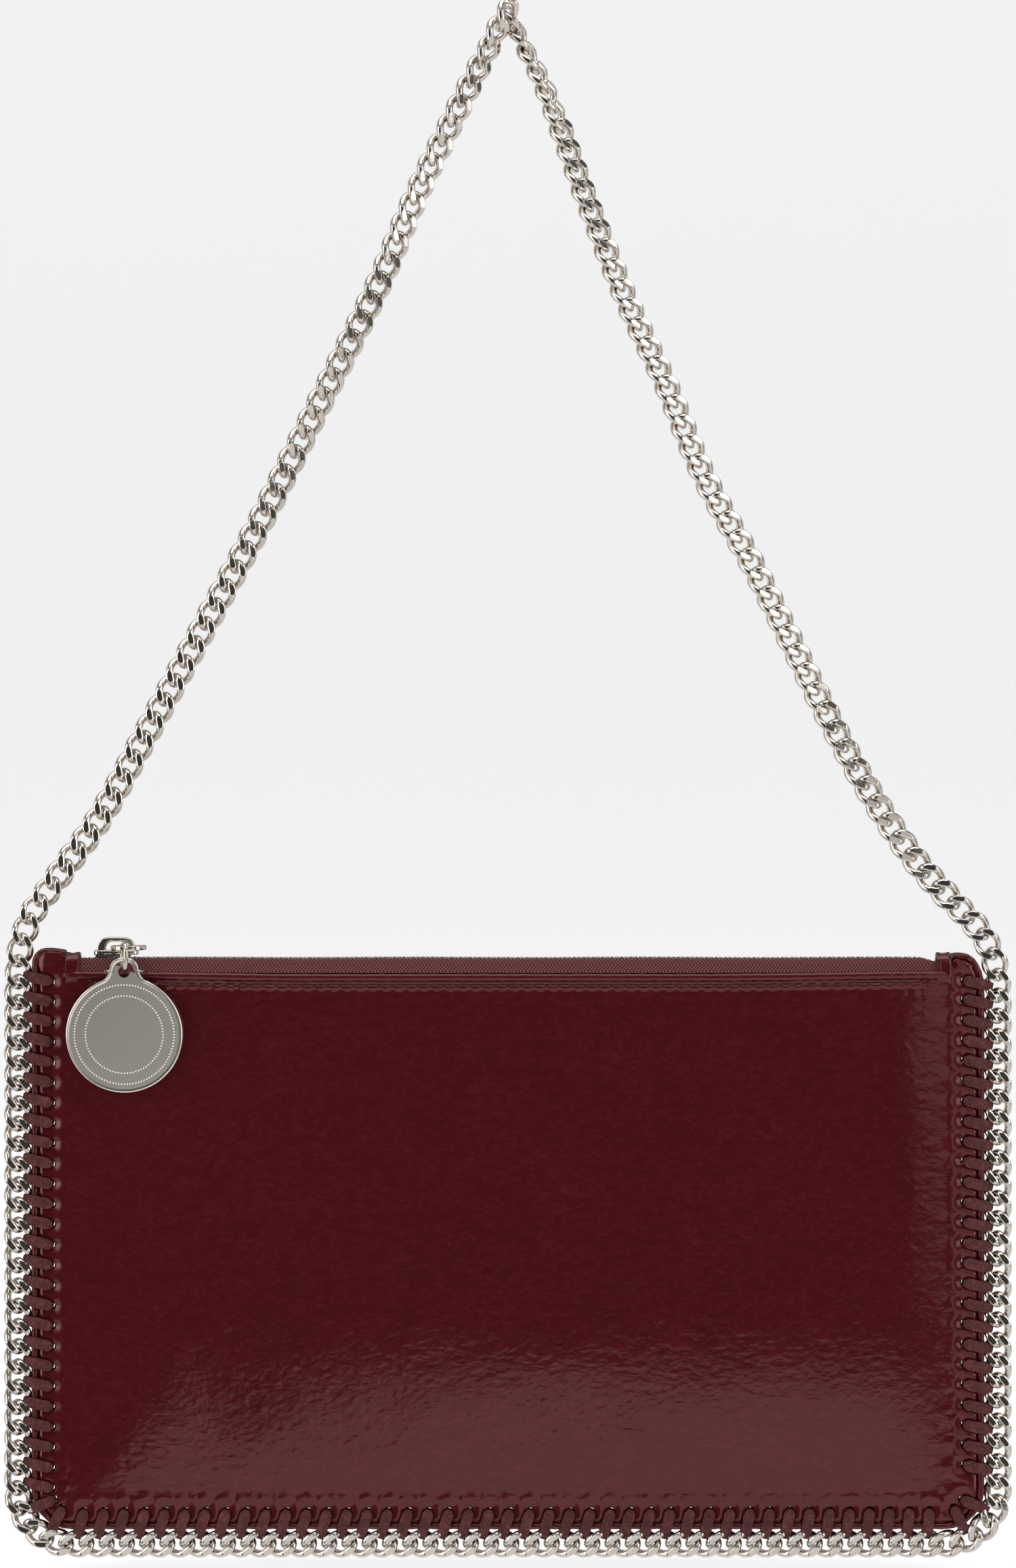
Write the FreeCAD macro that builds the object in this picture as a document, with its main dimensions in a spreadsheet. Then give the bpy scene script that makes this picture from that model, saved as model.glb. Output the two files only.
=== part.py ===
import FreeCAD, Part
import math, os
from FreeCAD import Vector as V, Placement, Rotation

# Long wallet: a flat zipped leather pouch, laced all round to a curb chain that
# goes on as the shoulder strap.  +Z up, front faces -Y, X to the right.
# Origin: inside the top links of the strap, where a hook or hand carries it.

doc = FreeCAD.newDocument("long_wallet")
sheet = doc.addObject("Spreadsheet::Sheet", "dims")
SIZES = [
    ("half_width", 118.3), ("pouch_bottom", -379.0), ("ear_top", -235.0), ("panel_top", -242.75),
    ("corner_radius", 9.5), ("leather", 1.2), ("edge_gap", 0.55), ("bow", 3.65),
    ("slope_start", 106.0), ("flat_x", 109.8), ("slope_bottom", -340.0), ("flat_bottom", -370.5),
    ("notch_half", 109.75), ("lining", 0.5), ("core_thick", 1.0), ("core_width", 8.0),
    ("hole_dia", 2.4), ("lace_width", 2.0), ("lace_thick", 0.6), ("lace_reach", 7.3), ("lace_half", 2.4),
    ("hem_height", 1.8), ("hem_width", 1.7), ("hem_front", -6.0), ("hem_length", 205.0),
    ("stitch_pitch", 3.2), ("stitch_len", 2.2),
    ("wire_dia", 1.6), ("link_long", 3.7), ("link_across", 2.7), ("link_twist", 100.0), ("link_facet", 1.42),
    ("chain_x", 121.8), ("chain_top", -240.6), ("chain_top_right", -244.0), ("chain_bottom", -382.7), ("chain_corner", 13.0),
    ("border_pitch", 5.03), ("hinge_pitch", 5.4), ("strap_pitch", 5.42),
    ("tape_thick", 0.5), ("tape_mid_left", -87.8), ("tape_mid_right", 88.2), ("tape_left", -105.7), ("tape_right", 105.9),
    ("tooth_pitch", 2.35), ("tooth_len", 1.25), ("tooth_wide", 1.4), ("tooth_high", 1.7), ("tooth_z", -238.55), ("row_gap", 0.9),
    ("slider_x", -97.4), ("slider_len", 11.0), ("slider_wide", 6.4), ("plate", 1.1), ("slider_top", -235.2), ("slider_low", -240.0),
    ("keel_thick", 0.44), ("bridge_len", 9.3), ("bridge_top", -232.4), ("bridge_thick", 0.8), ("bridge_wide", 1.4),
    ("pull_wide", 8.6), ("pull_len", 10.75), ("pull_bar", 1.0), ("pull_z", -235.0), ("pull_front", -8.75), ("pull_x", -94.15),
    ("ring_x", -94.95), ("ring_y", -8.25), ("ring_z", -236.45), ("ring_radius", 3.1), ("ring_wire", 0.6),
    ("disc_radius", 14.5), ("disc_thick", 1.5), ("disc_z", -255.9), ("disc_hole_z", -240.27), ("disc_hole", 1.48),
    ("neck_half", 3.7), ("neck_top", -236.7), ("tab_thick", 6.0),
    ("pocket_width", 112.0), ("pocket_height", 65.5), ("pocket_bottom", -339.5), ("pocket_thick", 0.6),
]
S = {}
for i, (alias, val) in enumerate(SIZES):
    sheet.set("A%d" % (i + 1), alias)
    sheet.set("B%d" % (i + 1), str(val))
    sheet.setAlias("B%d" % (i + 1), alias)
    S[alias] = val
doc.recompute()

pieces = []          # the finished sub-parts, in order


def done(obj, label):
    obj.Label = label
    pieces.append(obj)
    return obj


# ------------------------------------------------------------------ helpers
def outline(pts, radii=0.0):
    """Line and arc pieces of a closed polygon with rounded corners."""
    n = len(pts)
    r = radii if isinstance(radii, (list, tuple)) else [radii] * n
    P = [V(p[0], p[1], 0) for p in pts]
    cut = []
    for i in range(n):
        a, b, c = P[i - 1], P[i], P[(i + 1) % n]
        u, w = (a - b).normalize(), (c - b).normalize()
        if r[i] <= 0:
            cut.append((b, b, None))
            continue
        half = math.acos(max(-1, min(1, u.dot(w)))) / 2
        k = r[i] / math.tan(half)
        p1, p2 = b + u * k, b + w * k
        bis = (u + w).normalize()
        cen = b + bis * (r[i] / math.sin(half))
        cut.append((p1, p2, cen - bis * r[i]))
    geo = []
    for i in range(n):
        p1, p2, mid = cut[i]
        if mid is not None:
            geo.append(Part.Arc(p1, mid, p2))
        q = cut[(i + 1) % n][0]
        if (q - p2).Length > 1e-6:
            geo.append(Part.LineSegment(p2, q))
    return geo


def plane(body, role):
    for f in body.Origin.OriginFeatures:
        if f.Role == role:
            return f


def pad(name, role, offset, loops, length, fillet=None, edges=None):
    """PartDesign body: one sketch on an origin plane, padded along the plane's normal."""
    body = doc.addObject("PartDesign::Body", name)
    sk = body.newObject("Sketcher::SketchObject", name + "_sketch")
    sk.AttachmentSupport = [(plane(body, role), "")]
    sk.MapMode = "FlatFace"
    sk.AttachmentOffset = Placement(V(0, 0, offset), Rotation())
    for g in loops:
        sk.addGeometry(g, False)
    pd = body.newObject("PartDesign::Pad", name + "_pad")
    pd.Profile = sk
    if isinstance(length, str):
        pd.setExpression("Length", length)
    else:
        pd.Length = length
    doc.recompute()
    if fillet:
        f = body.newObject("PartDesign::Fillet", name + "_round")
        names = []
        for k, e in enumerate(pd.Shape.Edges):
            if edges is None or edges(e):
                names.append("Edge%d" % (k + 1))
        f.Base = (pd, names)
        f.Radius = fillet
        doc.recompute()
        if "Invalid" in f.State or not f.Shape.isValid() or f.Shape.isNull():
            body.removeObject(f)
            doc.removeObject(f.Name)
            body.Tip = pd
            doc.recompute()
    return body


def boolean(kind, name, a, b):
    o = doc.addObject("Part::" + kind, name)
    o.Base, o.Tool = a, b
    return o


def box(name, **kw):
    """Part box whose sizes and position are expressions or numbers."""
    o = doc.addObject("Part::Box", name)
    for key, prop in (("L", "Length"), ("W", "Width"), ("H", "Height"),
                      ("x", "Placement.Base.x"), ("y", "Placement.Base.y"), ("z", "Placement.Base.z")):
        v = kw.get(key)
        if v is None:
            continue
        if isinstance(v, str):
            o.setExpression(prop, v)
        elif prop.startswith("Placement"):
            b = o.Placement.Base
            setattr(b, key, v)
            o.Placement = Placement(b, Rotation())
        else:
            setattr(o, prop, v)
    return o


def group(label, solids):
    """Many like pieces, separate solids of one sub-part."""
    o = doc.addObject("Part::Feature", label)
    o.Shape = Part.makeCompound(solids)
    o.Placement = Placement()
    return done(o, label)


# ------------------------------------------------------------------ curb chain
def link_knots(a, b, tau):
    def f(t):
        v0 = b * math.sin(t)
        ph = -math.radians(tau) / 2 * math.cos(t)
        return V(a * math.cos(t), v0 * math.cos(ph), v0 * math.sin(ph))
    K = []
    for k in range(4):
        t = k * math.pi / 2
        K.append((f(t), (f(t + 1e-5) - f(t - 1e-5)).normalize()))
    return K


def biarc(P0, T0, P1, T1):
    v, t = P1 - P0, T0 + T1
    den = 2 * (1 - T0.dot(T1))
    d = (-v.dot(t) + math.sqrt(v.dot(t) ** 2 + den * v.dot(v))) / den
    Q1, Q2 = P0 + T0 * d, P1 - T1 * d
    return (Q1 + Q2) * 0.5, (Q2 - Q1).normalize()


def bent_wire(P0, T0, P1, r):
    """The round wire's skin along one arc from P0 (direction T0) to P1."""
    c = P1 - P0
    n = (c - T0 * c.dot(T0)).normalize()
    rad = c.dot(c) / (2 * c.dot(n))
    cen = P0 + n * rad
    ang = math.degrees(2 * math.atan2(c.dot(n), c.dot(T0)))
    face = Part.Face(Part.Wire([Part.Circle(P0, T0, r).toShape()]))
    seg = face.revolve(cen, (n * -1).cross(T0), ang)
    return [f for f in seg.Faces if type(f.Surface).__name__ == "Toroid"]


def make_link():
    """One twisted link, its raised strands ground flat on both faces."""
    K = link_knots(S["link_long"], S["link_across"], S["link_twist"])
    skin = []
    for k in range(4):
        (P0, T0), (P1, T1) = K[k], K[(k + 1) % 4]
        J, TJ = biarc(P0, T0, P1, T1)
        skin += bent_wire(P0, T0, J, S["wire_dia"] / 2)
        skin += bent_wire(J, TJ, P1, S["wire_dia"] / 2)
    ring = Part.Solid(Part.Shell(skin))
    h = S["link_facet"]
    cut = ring.common(Part.makeBox(30, 30, 2 * h, V(-15, -15, -h)))
    return cut.Solids[0]


LINK = make_link()
# link axes: u along the chain, v across it in the chain's plane, w towards the front


def set_link(c, ang, twist):
    """Place a link: centre, direction of u in the XZ plane (degrees), turn about u (degrees)."""
    a = math.radians(ang)
    u, v, w = V(math.cos(a), 0, math.sin(a)), V(-math.sin(a), 0, math.cos(a)), V(0, -1, 0)
    t = math.radians(twist)
    v2 = v * math.cos(t) + w * math.sin(t)
    w2 = w * math.cos(t) - v * math.sin(t)
    m = FreeCAD.Matrix(u.x, v2.x, w2.x, c[0], u.y, v2.y, w2.y, c[1], u.z, v2.z, w2.z, c[2], 0, 0, 0, 1)
    s = LINK.copy()
    s.Placement = Placement(m)
    return s


# the strap's two legs: points that each leg passes, from the pouch up
LEFT_LEG = [(-110.674, -215.292), (-101.076, -201.646), (-89.284, -180.252), (-75.639, -154.983), (-61.993, -129.546),
            (-48.348, -102.255), (-32.849, -71.09), (-21.057, -43.8)]
RIGHT_LEG = [(101.75, -213.439), (89.957, -195.919), (80.187, -178.231), (70.585, -158.858), (60.814, -139.316),
             (49.022, -117.922), (39.251, -94.506), (29.649, -73.954), (19.878, -49.527), (10.444, -24.258)]
# the top links, where the two legs cross and hang on the carrying hook: centre, direction, twist
TOP_LEFT = [((-12.673, -0.525, -26.641), 63.48, 38.31), ((-10.3, -0.973, -21.852), 62.72, 43.25),
            ((-7.869, -1.387, -17.064), 62.71, 47.35), ((-5.392, -1.835, -12.369), 62.79, 53.58),
            ((-3.204, -2.026, -7.535), 63.27, 55.48), ((-0.69, -1.414, -2.893), 65.09, 61.52)]
TOP_RIGHT = [((11.914, 0.594, -28.134), 291.68, -55.16), ((10.029, 1.094, -23.109), 293.2, -57.41),
             ((7.889, 1.516, -18.225), 295.27, -63.2), ((5.406, 1.922, -13.355), 296.93, -67.33),
             ((3.05, 1.997, -8.388), 295.13, -72.46), ((0.815, 1.363, -3.585), 291.96, -81.78)]
LEAN = {-1: (10.0, 20.0, 29.0), 1: (14.0, 27.0, 39.0)}     # how far the corner links lean in as the border turns into the strap


def corner_links(side):
    """Pivot points between the corner links, and the links' places."""
    cx, cz, a0 = side * S["chain_x"], S["chain_top" if side < 0 else "chain_top_right"], 0.0
    p = S["hinge_pitch"] / 2
    piv, res = [], []
    for lean in LEAN[side]:
        px, pz = cx - side * math.sin(math.radians(a0)) * p, cz + math.cos(math.radians(a0)) * p
        piv.append((px, pz))
        cx, cz = px - side * math.sin(math.radians(lean)) * p, pz + math.cos(math.radians(lean)) * p
        res.append(((cx, 0, cz), 90 + side * lean))
        a0 = lean
    return piv, res


def through(P, n=40):
    """A smooth curve through the points, as closely spaced points."""
    Q = [tuple(2 * a - b for a, b in zip(P[0], P[1]))] + list(P) + [tuple(2 * a - b for a, b in zip(P[-1], P[-2]))]
    out = []
    for i in range(1, len(Q) - 2):
        for k in range(n):
            t = k / n
            out.append(tuple(0.5 * (2 * b + (c - a) * t + (2 * a - 5 * b + 4 * c - d) * t * t + (3 * b - a - 3 * c + d) * t ** 3)
                             for a, b, c, d in zip(*Q[i - 1:i + 3])))
    out.append(tuple(P[-1]))
    return out


def even(D, n):
    L = [0.0]
    for a, b in zip(D, D[1:]):
        L.append(L[-1] + math.dist(a, b))
    out, j = [], 0
    for i in range(n + 1):
        s = L[-1] * i / n
        while j < len(L) - 2 and L[j + 1] < s:
            j += 1
        f = (s - L[j]) / max(L[j + 1] - L[j], 1e-9)
        out.append(tuple(a + (b - a) * f for a, b in zip(D[j], D[j + 1])))
    return out, L[-1]


def table(T, x):
    for (a, b), (c, d) in zip(T, T[1:]):
        if x <= c:
            return b + (d - b) * (x - a) / (c - a)
    return T[-1][1]


def strap_leg(side):
    """Places of one leg's links, from the pouch's corner to the top."""
    start = corner_links(side)[1][-1][0]
    top = (-0.62, -2.75) if side < 0 else (0.615, -3.69)
    P = [(start[0], start[2])] + (LEFT_LEG if side < 0 else RIGHT_LEG) + [top]
    D = through(P)
    n = math.ceil(even(D, 10)[1] / S["strap_pitch"])
    C = even(D, n)[0]
    out = []
    for i in range(n - 5):
        a, b = C[max(i - 1, 0)], C[min(i + 1, n)]
        ang = math.degrees(math.atan2(b[1] - a[1], b[0] - a[0])) + (0 if side < 0 else 180)
        if side < 0:
            tw = table([(0, 0), (12, 2), (34, 26), (n - 5, 40), (n, 58.7)], i)
        else:
            tw = -table([(0, 0), (3, 8), (10, 38), (20, 48), (n - 5, 52), (n, 78)], i)
        y = side * (0.25 if i == n - 6 else 0.0)
        out.append(((C[i][0], y, C[i][1]), ang, tw))
    return out + (TOP_LEFT if side < 0 else TOP_RIGHT)


def border_links():
    """Places of the border's links: down the left side, along the bottom, up the right side."""
    r, zb, x, z0 = S["chain_corner"], S["chain_bottom"], S["chain_x"], S["chain_top"]
    H, A, W = z0 - (zb + r), math.pi / 2 * r, 2 * (x - r)
    tot = H + 2 * A + W + S["chain_top_right"] - (zb + r)
    n = round(tot / S["border_pitch"])
    out = []
    for i in range(n + 1):
        s = tot * i / n
        if s <= H:
            out.append(("left", (-x, 0, z0 - s), -90.0))
        elif s <= H + A:
            t = (s - H) / r
            out.append(("left_corner", (-x + r - r * math.cos(t), 0, zb + r - r * math.sin(t)), -90 + math.degrees(t)))
        elif s <= H + A + W:
            out.append(("bottom", (-x + r + s - H - A, 0, zb), 0.0))
        elif s <= H + 2 * A + W:
            t = (s - H - A - W) / r
            out.append(("right_corner", (x - r + r * math.sin(t), 0, zb + r - r * math.cos(t)), math.degrees(t)))
        else:
            out.append(("right", (x, 0, zb + r + s - H - 2 * A - W), 90.0))
    return out


group("strap_chain_left", [set_link(*q) for q in strap_leg(-1)])
group("strap_chain_right", [set_link(*q) for q in strap_leg(1)])
CORNERS = {s: corner_links(s)[1] for s in (-1, 1)}
group("corner_links_upper", [set_link(CORNERS[s][1][0], CORNERS[s][1][1], 0) for s in (-1, 1)])
group("corner_links_lower", [set_link(CORNERS[s][0][0], CORNERS[s][0][1], 0) for s in (-1, 1)])
BORDER = border_links()
group("border_chain_left", [set_link(c, a, 0) for k, c, a in BORDER if k in ("left",)])
group("border_chain_bottom", [set_link(c, a, 0) for k, c, a in BORDER if k in ("left_corner", "bottom", "right_corner")])
group("border_chain_right", [set_link(c, a, 0) for k, c, a in BORDER if k in ("right",)])


# ------------------------------------------------------------------ lace stitches
def lace_places():
    """(group, outer end point, direction from the edge in to the hole) for every stitch."""
    out = []
    for k, c, a in BORDER:
        if k == "left" and c[2] < -240.0:
            e = V(math.cos(math.radians(-12.5)), 0, math.sin(math.radians(-12.5)))
            out.append(("left", V(-120.3, 0, c[2] - 0.8), e))
        elif k == "bottom":
            sl = 17 - 13 * max(0.0, min(1.0, (c[0] - 20) / 90.0))
            e = V(math.sin(math.radians(sl)), 0, math.cos(math.radians(sl)))
            out.append(("bottom", V(c[0] + 0.1, 0, -381.2), e))
        elif k == "right" and c[2] < -243.0:
            e = V(-math.cos(math.radians(13)), 0, math.sin(math.radians(13)))
            out.append(("right", V(120.3, 0, c[2] + (0.2 if c[2] < -246 else -0.2)), e))
    for side, grp in ((-1, "left"), (1, "right")):
        for deg in (24.0, 64.0):
            a = math.radians(deg)
            e = V(-side * math.cos(a), 0, math.sin(a))
            out.append((grp, V(side * 108.8, 0, -369.7) - e * 11.5, e))
    return out


LACES = lace_places()
HOLES = [p + e * (S["lace_reach"] - S["lace_thick"] / 2) for _g, p, e in LACES]


def stitch(p, e):
    """One flat lace loop: through the hole, over both faces and round the edge."""
    h, th, D = S["lace_half"], S["lace_thick"], S["lace_reach"]
    yv = V(0, 1, 0)
    t = e.cross(yv)

    def wire(x0, x1, y, r):
        pts = [(x0, -y), (x1, -y), (x1, y), (x0, y)]
        ed = []
        for g in outline(pts, r):
            ed.append(g.toShape())
        w = Part.Wire(Part.__sortEdges__(ed))
        m = FreeCAD.Matrix(e.x, yv.x, t.x, p.x, e.y, yv.y, t.y, p.y, e.z, yv.z, t.z, p.z, 0, 0, 0, 1)
        w.Placement = Placement(m)
        return w
    a, b = wire(0, D, h, 1.0), wire(th, D - th, h - th, 0.4)
    ring = Part.Face(a).extrude(t * S["lace_width"]).cut(Part.Face(b).extrude(t * S["lace_width"]))
    ring.translate(t * (-S["lace_width"] / 2))
    return ring.Solids[0]


for grp in ("left", "bottom", "right"):
    group("lace_" + grp, [stitch(p, e) for g, p, e in LACES if g == grp])

# ------------------------------------------------------------------ leather panels
W_, EAR, BOT, CR = S["half_width"], S["ear_top"], S["pouch_bottom"], S["corner_radius"]
PANEL = [(-W_, BOT), (W_, BOT), (W_, EAR - 0.8), (S["notch_half"], EAR - 1.6), (S["notch_half"], S["panel_top"]),
         (-S["notch_half"], S["panel_top"]), (-S["notch_half"], EAR - 0.6), (-W_, EAR)]
PANEL_R = [CR, CR, 7.2, 1.0, 0.5, 0.5, 1.0, 3.0]
punch = doc.addObject("Part::Feature", "lace_punch")
punch.Shape = Part.makeCompound([Part.makeCylinder(S["hole_dia"] / 2, 6, h + V(0, -3, 0), V(0, 1, 0)) for h in HOLES])
punch.Placement = Placement()


def wedge(name, y0, y1, front, x_in, z_in, z_top):
    """Shallow tray form: a big rectangle at the edge, a smaller one at full depth."""
    o = doc.addObject("Part::Wedge", name)
    lo, hi = min(y0, y1), max(y0, y1)
    o.Ymin, o.Ymax = lo, hi
    big = (-S["flat_x"], S["flat_x"], S["flat_bottom"], z_top)
    small = (-x_in, x_in, z_in, z_top)
    a, b = (small, big) if front else (big, small)
    o.Xmin, o.Xmax, o.Zmin, o.Zmax = a
    o.X2min, o.X2max, o.Z2min, o.Z2max = b
    return o


def shell_panel(label, front):
    s = -1 if front else 1
    e0, t, bow = S["edge_gap"], S["leather"], S["bow"]
    y_out = s * (e0 + t)
    ax = "XZ_Plane"
    plate = pad(label + "_plate", ax, 0, outline(PANEL, PANEL_R), "dims.leather")
    # put the plate between edge_gap and edge_gap + leather on its own side
    bb = plate.Shape.BoundBox
    want = min(s * e0, s * (e0 + t))
    plate.Placement = Placement(V(0, want - bb.YMin, 0), Rotation())
    outer = wedge(label + "_swell", y_out, s * (e0 + t + bow), front, S["slope_start"], S["slope_bottom"], S["panel_top"])
    inner = wedge(label + "_hollow", s * e0 - s * 0.001, s * (e0 + bow), front, S["slope_start"], S["slope_bottom"], S["panel_top"] + 1)
    f = boolean("Fuse", label + "_body", plate, outer)
    c = boolean("Cut", label + "_tray", f, inner)
    h = boolean("Cut", label, c, punch)
    return h


doc.recompute()
front_panel = done(shell_panel("front_panel", True), "front_panel")
back_panel = done(shell_panel("back_panel", False), "back_panel")


def lining(label, front):
    s = -1 if front else 1
    e0, t, bow = S["edge_gap"], S["lining"], S["bow"]
    g = 0.05
    ztop = S["panel_top"] - 0.6
    o = wedge(label + "_skin", s * (e0 - g), s * (e0 + bow - g), front, S["slope_start"] - 0.3, S["slope_bottom"] + 0.6, ztop)
    i = wedge(label + "_inside", s * (e0 - g - t), s * (e0 + bow - g - t), front, S["slope_start"] - 0.3, S["slope_bottom"] + 0.6, ztop + 1)
    for w in (o, i):
        for p in ("Xmin", "X2min"):
            if getattr(w, p) < -109:
                setattr(w, p, -109.2)
        for p in ("Xmax", "X2max"):
            if getattr(w, p) > 109:
                setattr(w, p, 109.2)
        for p in ("Zmin", "Z2min"):
            if getattr(w, p) < -370:
                setattr(w, p, -369.9)
    return boolean("Cut", label, o, i)


done(lining("front_lining", True), "front_lining")
done(lining("back_lining", False), "back_lining")

# U-shaped core strip between the two panels, down both sides and along the bottom
core = pad("edge_core_strip", "XZ_Plane", 0, outline(
    [(-W_, BOT), (W_, BOT), (W_, EAR - 1.0), (110.3, EAR - 1.6), (110.3, -371.0), (-110.3, -371.0), (-110.3, EAR - 0.8), (-W_, EAR - 0.2)],
    [CR, CR, 7.1, 0, 1.5, 1.5, 0, 2.8]), "dims.core_thick")
core.Placement = Placement(V(0, -0.5 - core.Shape.BoundBox.YMin, 0), Rotation())
done(boolean("Cut", "edge_core", core, punch), "edge_core")

# ------------------------------------------------------------------ rolled top hems
def hem(label, front):
    s = -1 if front else 1
    yf = abs(S["hem_front"])
    w = S["hem_width"]
    L2 = S["hem_length"] / 2
    pts = [(-109.5, 2.2), (-109.5, 0.9), (-108.6, 0.9), (-L2 + 0.6, yf - w), (L2 - 0.6, yf - w), (108.6, 0.9), (109.5, 0.9), (109.5, 2.2), (L2, yf), (-L2, yf)]
    pts = [(x, s * y) for x, y in pts]
    b = pad(label + "_roll", "XY_Plane", 0, outline(pts, 0), "dims.hem_height", fillet=0.55,
            edges=lambda e: abs(e.Length - S["hem_length"]) < 1.0 or abs(e.Length - (S["hem_length"] - 1.2)) < 1.0)
    b.setExpression("Placement.Base.z", "dims.panel_top + 0.05")
    return b


done(hem("front_hem", True), "front_hem")
done(hem("rear_hem", False), "rear_hem")
sts = []
n = int(200 / S["stitch_pitch"])
for s in (-1, 1):
    y = S["edge_gap"] + S["leather"] + S["bow"]
    for k in range(n):
        x = (k - (n - 1) / 2) * S["stitch_pitch"]
        q = Part.makeBox(S["stitch_len"], 0.25, 0.5, V(x - S["stitch_len"] / 2, y + 0.02 if s > 0 else -y - 0.27, S["panel_top"] - 0.95))
        sts.append(q)
group("hem_stitches", sts)

# ------------------------------------------------------------------ slip pocket inside, on the back lining
py1 = S["edge_gap"] + S["bow"] - 0.05 - S["lining"] - 0.05      # just clear of the back lining
pk = pad("card_pocket", "XZ_Plane", 0, outline([(-56, -339.5), (56, -339.5), (56, -274), (8, -274), (0, -278), (-8, -274), (-56, -274)], [2, 2, 2, 1, 5, 1, 2]),
         "dims.pocket_thick")
pk.Placement = Placement(V(0, 2.35 - pk.Shape.BoundBox.YMin, 0), Rotation())
done(pk, "card_pocket")
wl = pad("pocket_welt", "XZ_Plane", 0, outline([(-56, -339.5), (56, -339.5), (56, -275), (54, -275), (54, -337.5), (-54, -337.5), (-54, -275), (-56, -275)], 0), 0.55)
wl.Placement = Placement(V(0, 2.98 - wl.Shape.BoundBox.YMin, 0), Rotation())
done(wl, "pocket_welt")

# ------------------------------------------------------------------ zip
TAPE = [(-4.95, -240.6), (-3.75, -237.5), (-1.95, -237.5), (-1.95, -238.0), (-3.4, -238.0), (-4.4, -240.6)]


def tape(name, s, x0, x1, fixed=False):
    pts = [(s * -1 * y if s > 0 else y, z) for y, z in TAPE]
    b = pad(name, "YZ_Plane", 0, outline(pts, 0), x1 - x0)
    b.Placement = Placement(V(x0 - b.Shape.BoundBox.XMin, 0, 0), Rotation())
    return b


TL, TR, ML, MR = S["tape_left"], S["tape_right"], S["tape_mid_left"], S["tape_mid_right"]
done(tape("zip_tape_front", -1, ML, MR), "zip_tape_front")
done(tape("zip_tape_rear", 1, ML, MR), "zip_tape_rear")
ends = [tape("tape_end_%d" % i, s, a, b) for i, (s, a, b) in enumerate(
    ((-1, TL, ML - 0.25), (1, TL, ML - 0.25), (-1, MR + 0.25, TR), (1, MR + 0.25, TR)))]
c = doc.addObject("Part::Compound", "zip_tape_ends")
c.Links = ends
done(c, "zip_tape_ends")


def teeth(x0, x1, s, shift):
    out = []
    k = math.ceil((x0 - shift) / S["tooth_pitch"])
    while True:
        x = k * S["tooth_pitch"] + shift
        k += 1
        if x - S["tooth_len"] / 2 < x0:
            continue
        if x + S["tooth_len"] / 2 > x1:
            break
        y0 = S["row_gap"] / 2 if s > 0 else -S["row_gap"] / 2 - S["tooth_wide"]
        bx = Part.makeBox(S["tooth_len"], S["tooth_wide"], S["tooth_high"], V(x - S["tooth_len"] / 2, y0, S["tooth_z"]))
        out.append(bx.makeFillet(0.22, [e for e in bx.Edges if abs(e.tangentAt(e.FirstParameter).y) > 0.9]))
    return out


group("zip_teeth_front", teeth(ML, MR, -1, 0.0))
group("zip_teeth_rear", teeth(ML, MR, 1, S["tooth_pitch"] / 2))
group("zip_teeth_ends", teeth(-102.9, ML - 0.25, -1, 0.0) + teeth(-102.9, ML - 0.25, 1, S["tooth_pitch"] / 2)
      + teeth(MR + 0.25, 102.0, -1, 0.0) + teeth(MR + 0.25, 102.0, 1, S["tooth_pitch"] / 2))
group("zip_top_stops", [Part.makeBox(1.9, 1.4, 1.7, V(-105.3, s * 1.15 - 0.7, -238.55)) for s in (-1, 1)])
st = box("zip_bottom_stop", L=2.9, W=3.6, H=1.7, x=102.6, y=-1.8, z=-238.55)
done(st, "zip_bottom_stop")
tabs = []
for i, (x0, x1) in enumerate(((-109.6, -105.85), (106.05, 109.6))):
    tb = pad("tab_%d" % i, "YZ_Plane", 0, outline([(-3.0, -240.85), (3.0, -240.85), (3.0, -236.6), (-3.0, -236.6)], [0, 0, 1.2, 1.2]), x1 - x0)
    tb.Placement = Placement(V(x0 - tb.Shape.BoundBox.XMin, 0, 0), Rotation())
    tabs.append(tb)
c = doc.addObject("Part::Compound", "zip_end_tabs")
c.Links = tabs
done(c, "zip_end_tabs")

# ------------------------------------------------------------------ slider: two plates joined by a keel, bridge on top
SX, SL, SW = S["slider_x"], S["slider_len"], S["slider_wide"]
shield = [(SX - SL / 2, -SW / 2 + 0.6), (SX - SL / 2 + 2.5, -SW / 2), (SX + SL / 2, -SW / 2 + 0.9), (SX + SL / 2, SW / 2 - 0.9),
          (SX - SL / 2 + 2.5, SW / 2), (SX - SL / 2, SW / 2 - 0.6)]
top = pad("slider_top_plate", "XY_Plane", 0, outline(shield, [1.2, 2, 1.4, 1.4, 2, 1.2]), "dims.plate")
top.setExpression("Placement.Base.z", "dims.slider_top - dims.plate")
low = pad("slider_low_plate", "XY_Plane", 0, outline(shield, [1.2, 2, 1.4, 1.4, 2, 1.2]), "dims.plate")
low.setExpression("Placement.Base.z", "dims.slider_low")
keel = box("slider_keel", L=2.8, W="dims.keel_thick", H="dims.slider_top - dims.slider_low - 2 * dims.plate + 0.4",
           x="dims.slider_x - 5.2", y="-dims.keel_thick / 2", z="dims.slider_low + dims.plate - 0.2")
fl = [box("slider_rim_%d" % i, L=6.5, W=0.55, H=0.9, x=SX - 3.0, y=y, z=z) for i, (y, z) in enumerate(
    ((-3.1, -237.1), (2.55, -237.1)))]
BX0, BX1 = SX - 4.68, SX + 4.62
bt, bth = S["bridge_top"], S["bridge_thick"]
st_ = S["slider_top"]
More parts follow.
